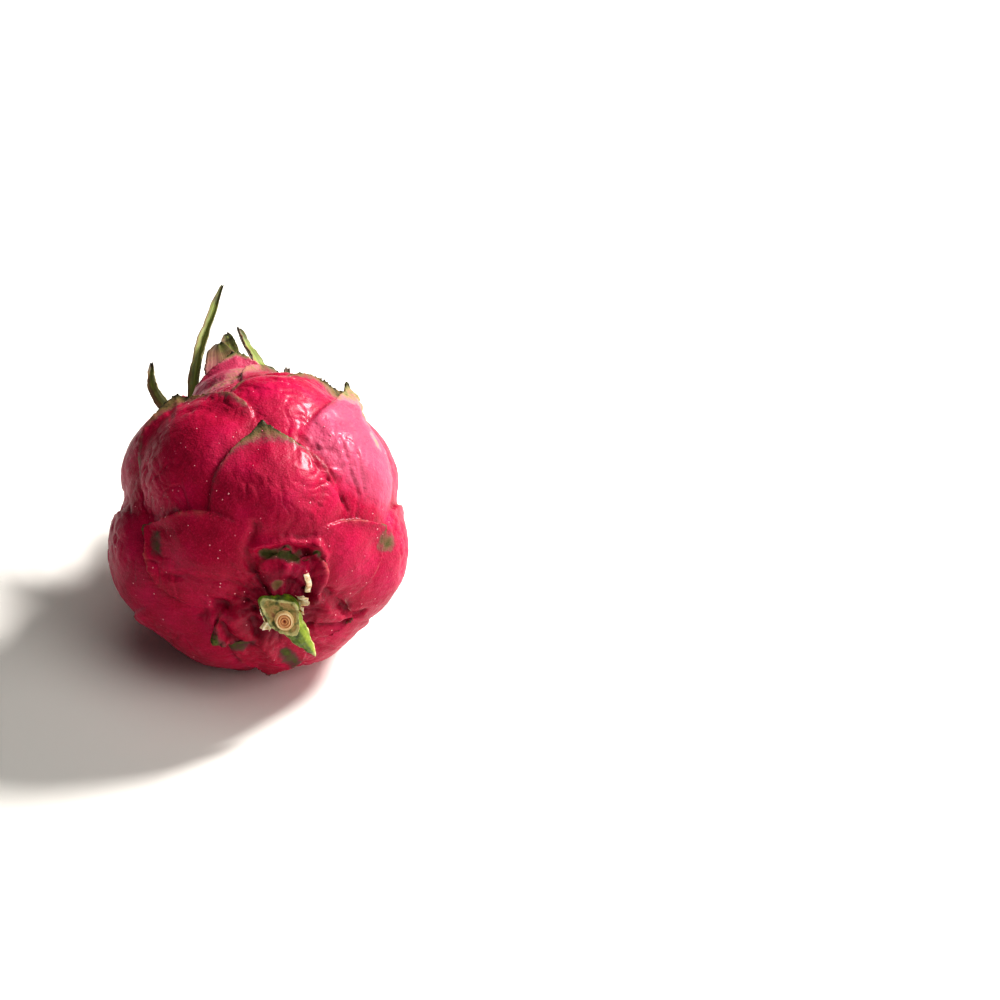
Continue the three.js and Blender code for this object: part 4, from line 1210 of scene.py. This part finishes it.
# Radius and height over the floor, in millimetres, from the top of the style's stump out to the cup's foot.
CUP = [(1.6, 8.6), (2.0, 7.0), (2.1, 5.5), (2.4, 4.4), (2.6, 2.6), (3.0, 1.3), (4.5, 0.9), (6.2, 1.2),
       (6.8, 2.2), (7.0, 3.2), (7.2, 3.6), (7.4, 3.4), (7.3, 2.2), (7.1, 1.2), (6.6, 0.4), (6.0, 0.0)]
around = 160
a = np.arange(around) * math.tau / around
scar = Shells()
scar_rings = []
for radius, rise in CUP:
    torn = 1 + 0.32 * np.sin(7 * a) * np.sin(3 * a + 0.6) * (rise > 2 and radius > 5)
    r = radius * (1 + 0.05 * ripple(6 * a, 4) + 0.03 * np.sin(9 * a) * (radius < 3))
    scar_rings.append(np.stack([r * np.cos(a), SCAR_FLOOR + rise * torn, r * np.sin(a)], 1))
first = np.array([[0, SCAR_FLOOR + 8.9, 0]])
last = np.array([[0, SCAR_FLOOR, 0]])
scar.add(np.concatenate([first, *scar_rings, last]), [face[::-1] for face in ring_faces(len(CUP), around)])
scar_mesh = scar.mesh("flower_scar_cup")
write_points(scar_mesh, lay(read_points(scar_mesh)))
scar_material = dry_scar()
finish_piece("flower_scar_cup", scar_mesh, [scar_material], "flower_scar")


def new_tree(name, **inputs):
    """A Geometry Nodes tree with its named inputs, and the nodes that bring them in and take the mesh out."""
    tree = bpy.data.node_groups.new(name, "GeometryNodeTree")
    tree.interface.new_socket("Geometry", in_out="INPUT", socket_type="NodeSocketGeometry")
    tree.interface.new_socket("Geometry", in_out="OUTPUT", socket_type="NodeSocketGeometry")
    for label, value in inputs.items():
        kind = "NodeSocketInt" if isinstance(value, int) else "NodeSocketFloat"
        tree.interface.new_socket(label.replace("_", " "), in_out="INPUT", socket_type=kind)
    return tree, tree.nodes.new("NodeGroupInput").outputs


def grown_mesh(name, start, tree, **inputs):
    """Runs a tree on a start mesh and returns what it makes as a plain mesh."""
    carrier = bpy.data.objects.new(name, start)
    bpy.context.scene.collection.objects.link(carrier)
    growth = carrier.modifiers.new(name, "NODES")
    growth.node_group = tree
    for label, value in inputs.items():
        item = tree.interface.items_tree[label.replace("_", " ")]
        growth[item.identifier] = value
    made = bpy.data.meshes.new_from_object(carrier.evaluated_get(bpy.context.evaluated_depsgraph_get()))
    bpy.data.objects.remove(carrier)
    return made


STAMENS = 84
STAMEN_LENGTH = 9.0
STAMEN_SCATTER = 1.1
# A filament's thickness is stated against its length of 1, because the whole strand is scaled up.
STAMEN_THICKNESS = 0.028


def stamen_tree(material):
    """Thin tapered filaments on a ring of points, each bent over its own way."""
    tree, given = new_tree("shrivelled stamens", Count=1, Ring_radius=1.0, Length=1.0, Thickness=1.0, Seed=1)
    ring = add(tree, "GeometryNodeMeshCircle", {"Vertices": given["Count"], "Radius": given["Ring radius"]})
    points = add(tree, "GeometryNodeMeshToPoints", {"Mesh": ring})
    off = STAMEN_SCATTER * MM
    scatter = add(tree, "FunctionNodeRandomValue", {"Min": (-off, -off, 0.0), "Max": (off, off, 0.0),
                                                    "Seed": given["Seed"]}, data_type="FLOAT_VECTOR")
    points = add(tree, "GeometryNodeSetPosition", {"Geometry": points, "Offset": scatter})
    strand = add(tree, "GeometryNodeCurvePrimitiveBezierSegment", {
        "Resolution": 7, "Start": (0, 0, 0), "Start Handle": (0, 0, 0.45), "End Handle": (0.25, 0.1, 0.8),
        "End": (0.62, 0.0, 0.86)})
    across = add(tree, "GeometryNodeCurvePrimitiveCircle", {"Resolution": 5, "Radius": given["Thickness"]},
                 out="Curve")
    along = add(tree, "GeometryNodeSplineParameter", out="Factor")
    taper = add(tree, "MapRange", {"Value": along, "To Min": 1.0, "To Max": 0.45})
    strand = add(tree, "GeometryNodeSetCurveRadius", {"Curve": strand, "Radius": taper})
    tube = add(tree, "GeometryNodeCurveToMesh", {"Curve": strand, "Profile Curve": across, "Fill Caps": True})
    spin = add(tree, "FunctionNodeRandomValue", {"Min": (-0.35, -0.35, 0.0), "Max": (0.35, 0.35, math.tau),
                                                 "Seed": given["Seed"]}, data_type="FLOAT_VECTOR")
    size = add(tree, "FunctionNodeRandomValue", {"Min": 0.55, "Max": 1.0, "Seed": given["Seed"]},
               data_type="FLOAT")
    size = add(tree, "Math", {0: size, 1: given["Length"]}, operation="MULTIPLY")
    tuft = add(tree, "GeometryNodeInstanceOnPoints", {"Points": points, "Instance": tube,
                                                      "Rotation": spin, "Scale": size})
    tuft = add(tree, "GeometryNodeRealizeInstances", {"Geometry": tuft})
    tuft = add(tree, "GeometryNodeSetShadeSmooth", {"Geometry": tuft})
    tuft = add(tree, "GeometryNodeSetMaterial", {"Geometry": tuft, "Material": material})
    add(tree, "NodeGroupOutput", {"Geometry": tuft})
    return tree


stamen_mesh = grown_mesh(
    "stamens", bpy.data.meshes.new("no_start"), stamen_tree(scar_material),
    Count=STAMENS, Ring_radius=4.4 * MM, Length=STAMEN_LENGTH * MM, Thickness=STAMEN_THICKNESS, Seed=7,
)
upright = read_points(stamen_mesh) / MM
write_points(stamen_mesh, lay(np.stack([upright[:, 0], upright[:, 2] + SCAR_FLOOR + 0.8, upright[:, 1]], 1)))
stamen_mesh.flip_normals()
finish_piece("flower_scar_stamens", stamen_mesh, [scar_material], "flower_scar")

# Corky specks
# Pores of the skin that corked over as the fruit swelled: tiny pale raised dots, which catch the light.


def corky_speck():
    """Cork in a pore of the skin: dry and pale. It gives small satin dots of dusty pink."""
    material, tree = new_material("corky pore")
    spot = add(tree, "TexCoord", out="Object")
    blotch = add(tree, "TexNoise", {"Vector": spot, "Scale": 1 / (6 * MM)}, out="Fac")
    colour = add(tree, "ValToRGB", {"Fac": blotch}, stops=[(0.35, "#C23A5E"), (0.65, "#E3A0A4")])
    shader = add(tree, "BsdfPrincipled", {"Base Color": colour, "Roughness": 0.32, "IOR": 1.45,
                                                    "Coat Weight": 0.3, "Coat Roughness": 0.15})
    add(tree, "OutputMaterial", {"Surface": shader})
    return material


def speck_tree(material):
    tree, given = new_tree("corky specks", Density=1.0, Speck_radius=1.0, Seed=1)
    under = add(tree, "GeometryNodeInputNamedAttribute", {"Name": "under"}, data_type="FLOAT")
    outside = add(tree, "FunctionNodeCompare", {"A": under, "B": 0.2},
                  data_type="FLOAT", operation="LESS_THAN")
    spread_out = tree.nodes.new("GeometryNodeDistributePointsOnFaces")
    tree.links.new(given["Geometry"], spread_out.inputs["Mesh"])
    tree.links.new(outside, spread_out.inputs["Selection"])
    tree.links.new(given["Density"], spread_out.inputs["Density"])
    tree.links.new(given["Seed"], spread_out.inputs["Seed"])
    dome = add(tree, "GeometryNodeMeshUVSphere", {"Segments": 7, "Rings": 4, "Radius": given["Speck radius"]})
    dome = add(tree, "GeometryNodeTransform", {"Geometry": dome, "Scale": (1.0, 1.0, 0.45)})
    size = add(tree, "FunctionNodeRandomValue", {"Min": 0.4, "Max": 1.0, "Seed": given["Seed"]},
               data_type="FLOAT")
    specks = add(tree, "GeometryNodeInstanceOnPoints", {
        "Points": spread_out.outputs["Points"], "Instance": dome, "Rotation": spread_out.outputs["Rotation"],
        "Scale": size})
    specks = add(tree, "GeometryNodeRealizeInstances", {"Geometry": specks})
    specks = add(tree, "GeometryNodeSetShadeSmooth", {"Geometry": specks})
    specks = add(tree, "GeometryNodeSetMaterial", {"Geometry": specks, "Material": material})
    add(tree, "NodeGroupOutput", {"Geometry": specks})
    return tree


speck_material = corky_speck()
speck_mesh = grown_mesh("specks", fruit_mesh, speck_tree(speck_material),
                        Density=14000.0, Speck_radius=0.32 * MM, Seed=3)
dots = read_points(speck_mesh)
dots[:, 2] = np.maximum(dots[:, 2], 0)
write_points(speck_mesh, dots)
finish_piece("corky_specks", speck_mesh, [speck_material], "fruit")

# Table and light
# A pale matt table in a dim room. The key light stands at the right, a little behind, and is small enough for
# a shadow with a clear core. A wide front light and a weak overhead one fill the shaded side.


def pale_table():
    """Matt white lacquer on a board: it gives a clean pale ground with a very faint unevenness."""
    material, tree = new_material("matt white lacquer")
    spot = add(tree, "TexCoord", out="Object")
    cloudy = add(tree, "TexNoise", {"Vector": spot, "Scale": 6.0, "Detail": 2.0}, out="Fac")
    colour = add(tree, "ValToRGB", {"Fac": cloudy}, stops=[(0.3, "#F1EDE6"), (0.7, "#F4F0EA")])
    shader = add(tree, "BsdfPrincipled", {"Base Color": colour, "Roughness": 0.55, "IOR": 1.45})
    add(tree, "OutputMaterial", {"Surface": shader})
    return material


table_mesh = bpy.data.meshes.new("table")
table_mesh.from_pydata([(-4, -4, 0), (4, -4, 0), (4, 4, 0), (-4, 4, 0)], [], [(0, 1, 2, 3)])
table_mesh.materials.append(pale_table())
table = bpy.data.objects.new("table", table_mesh)
bpy.context.scene.collection.objects.link(table)

world = bpy.data.worlds.new("dim room")
bpy.context.scene.world = world
world.use_nodes = True
world.node_tree.nodes["Background"].inputs["Color"].default_value = linear("#F4F4F8")
world.node_tree.nodes["Background"].inputs["Strength"].default_value = 0.06

TARGET = Vector((1.6, -21.5, 40.0)) * MM


def soft_light(name, direction, distance, size, power, colour):
    light = bpy.data.lights.new(name, "AREA")
    light.shape = "DISK"
    light.size = size
    light.energy = power
    light.color = linear(colour)[:3]
    lamp = bpy.data.objects.new(name, light)
    bpy.context.scene.collection.objects.link(lamp)
    direction = Vector(direction).normalized()
    lamp.location = TARGET + direction * distance
    lamp.rotation_euler = direction.to_track_quat("Z", "Y").to_euler()


soft_light("key", (0.7, 0.32, 0.62), 2.2, 0.5, 100.0, "#FFFDFB")
soft_light("front", (0.62, -0.62, 0.48), 2.2, 1.8, 23.0, "#FFFCFA")
soft_light("overhead", (0.1, -0.15, 1.0), 1.8, 1.6, 8.0, "#FAFFFA")

# Camera
# A long lens a little above the table, looking down on the stem end as the photograph does.

PIXELS_PER_MM = 301 / 94
FRUIT_PIXEL = (259, 511)
PICTURE = 1000
FRUIT_MIDDLE = Vector((1.5, -20.5, 44.9))
DISTANCE = 1250.0
ELEVATION = math.radians(32)
TURN = math.radians(-7)
SENSOR = 36.0

right_of_fruit = (PICTURE / 2 - FRUIT_PIXEL[0]) / PIXELS_PER_MM
above_fruit = (FRUIT_PIXEL[1] - PICTURE / 2) / PIXELS_PER_MM
azimuth = TURN - math.atan2(right_of_fruit, DISTANCE)
level = math.cos(ELEVATION)
back = Vector((math.sin(azimuth) * level, -math.cos(azimuth) * level, math.sin(ELEVATION)))
right = Vector((math.cos(azimuth), math.sin(azimuth), 0))
up = back.cross(right)
lens = bpy.data.cameras.new("camera")
lens.sensor_width = SENSOR
lens.lens = SENSOR * DISTANCE / (PICTURE / PIXELS_PER_MM)
lens.clip_end = 20
camera = bpy.data.objects.new("camera", lens)
bpy.context.scene.collection.objects.link(camera)
turned = Matrix((right, up, back)).transposed().to_4x4()
turned.translation = (FRUIT_MIDDLE + right * right_of_fruit + up * above_fruit + back * DISTANCE) * MM
camera.matrix_world = turned
bpy.context.scene.camera = camera
bpy.context.scene.view_settings.view_transform = "Standard"
bpy.context.scene.view_settings.look = "Medium High Contrast"
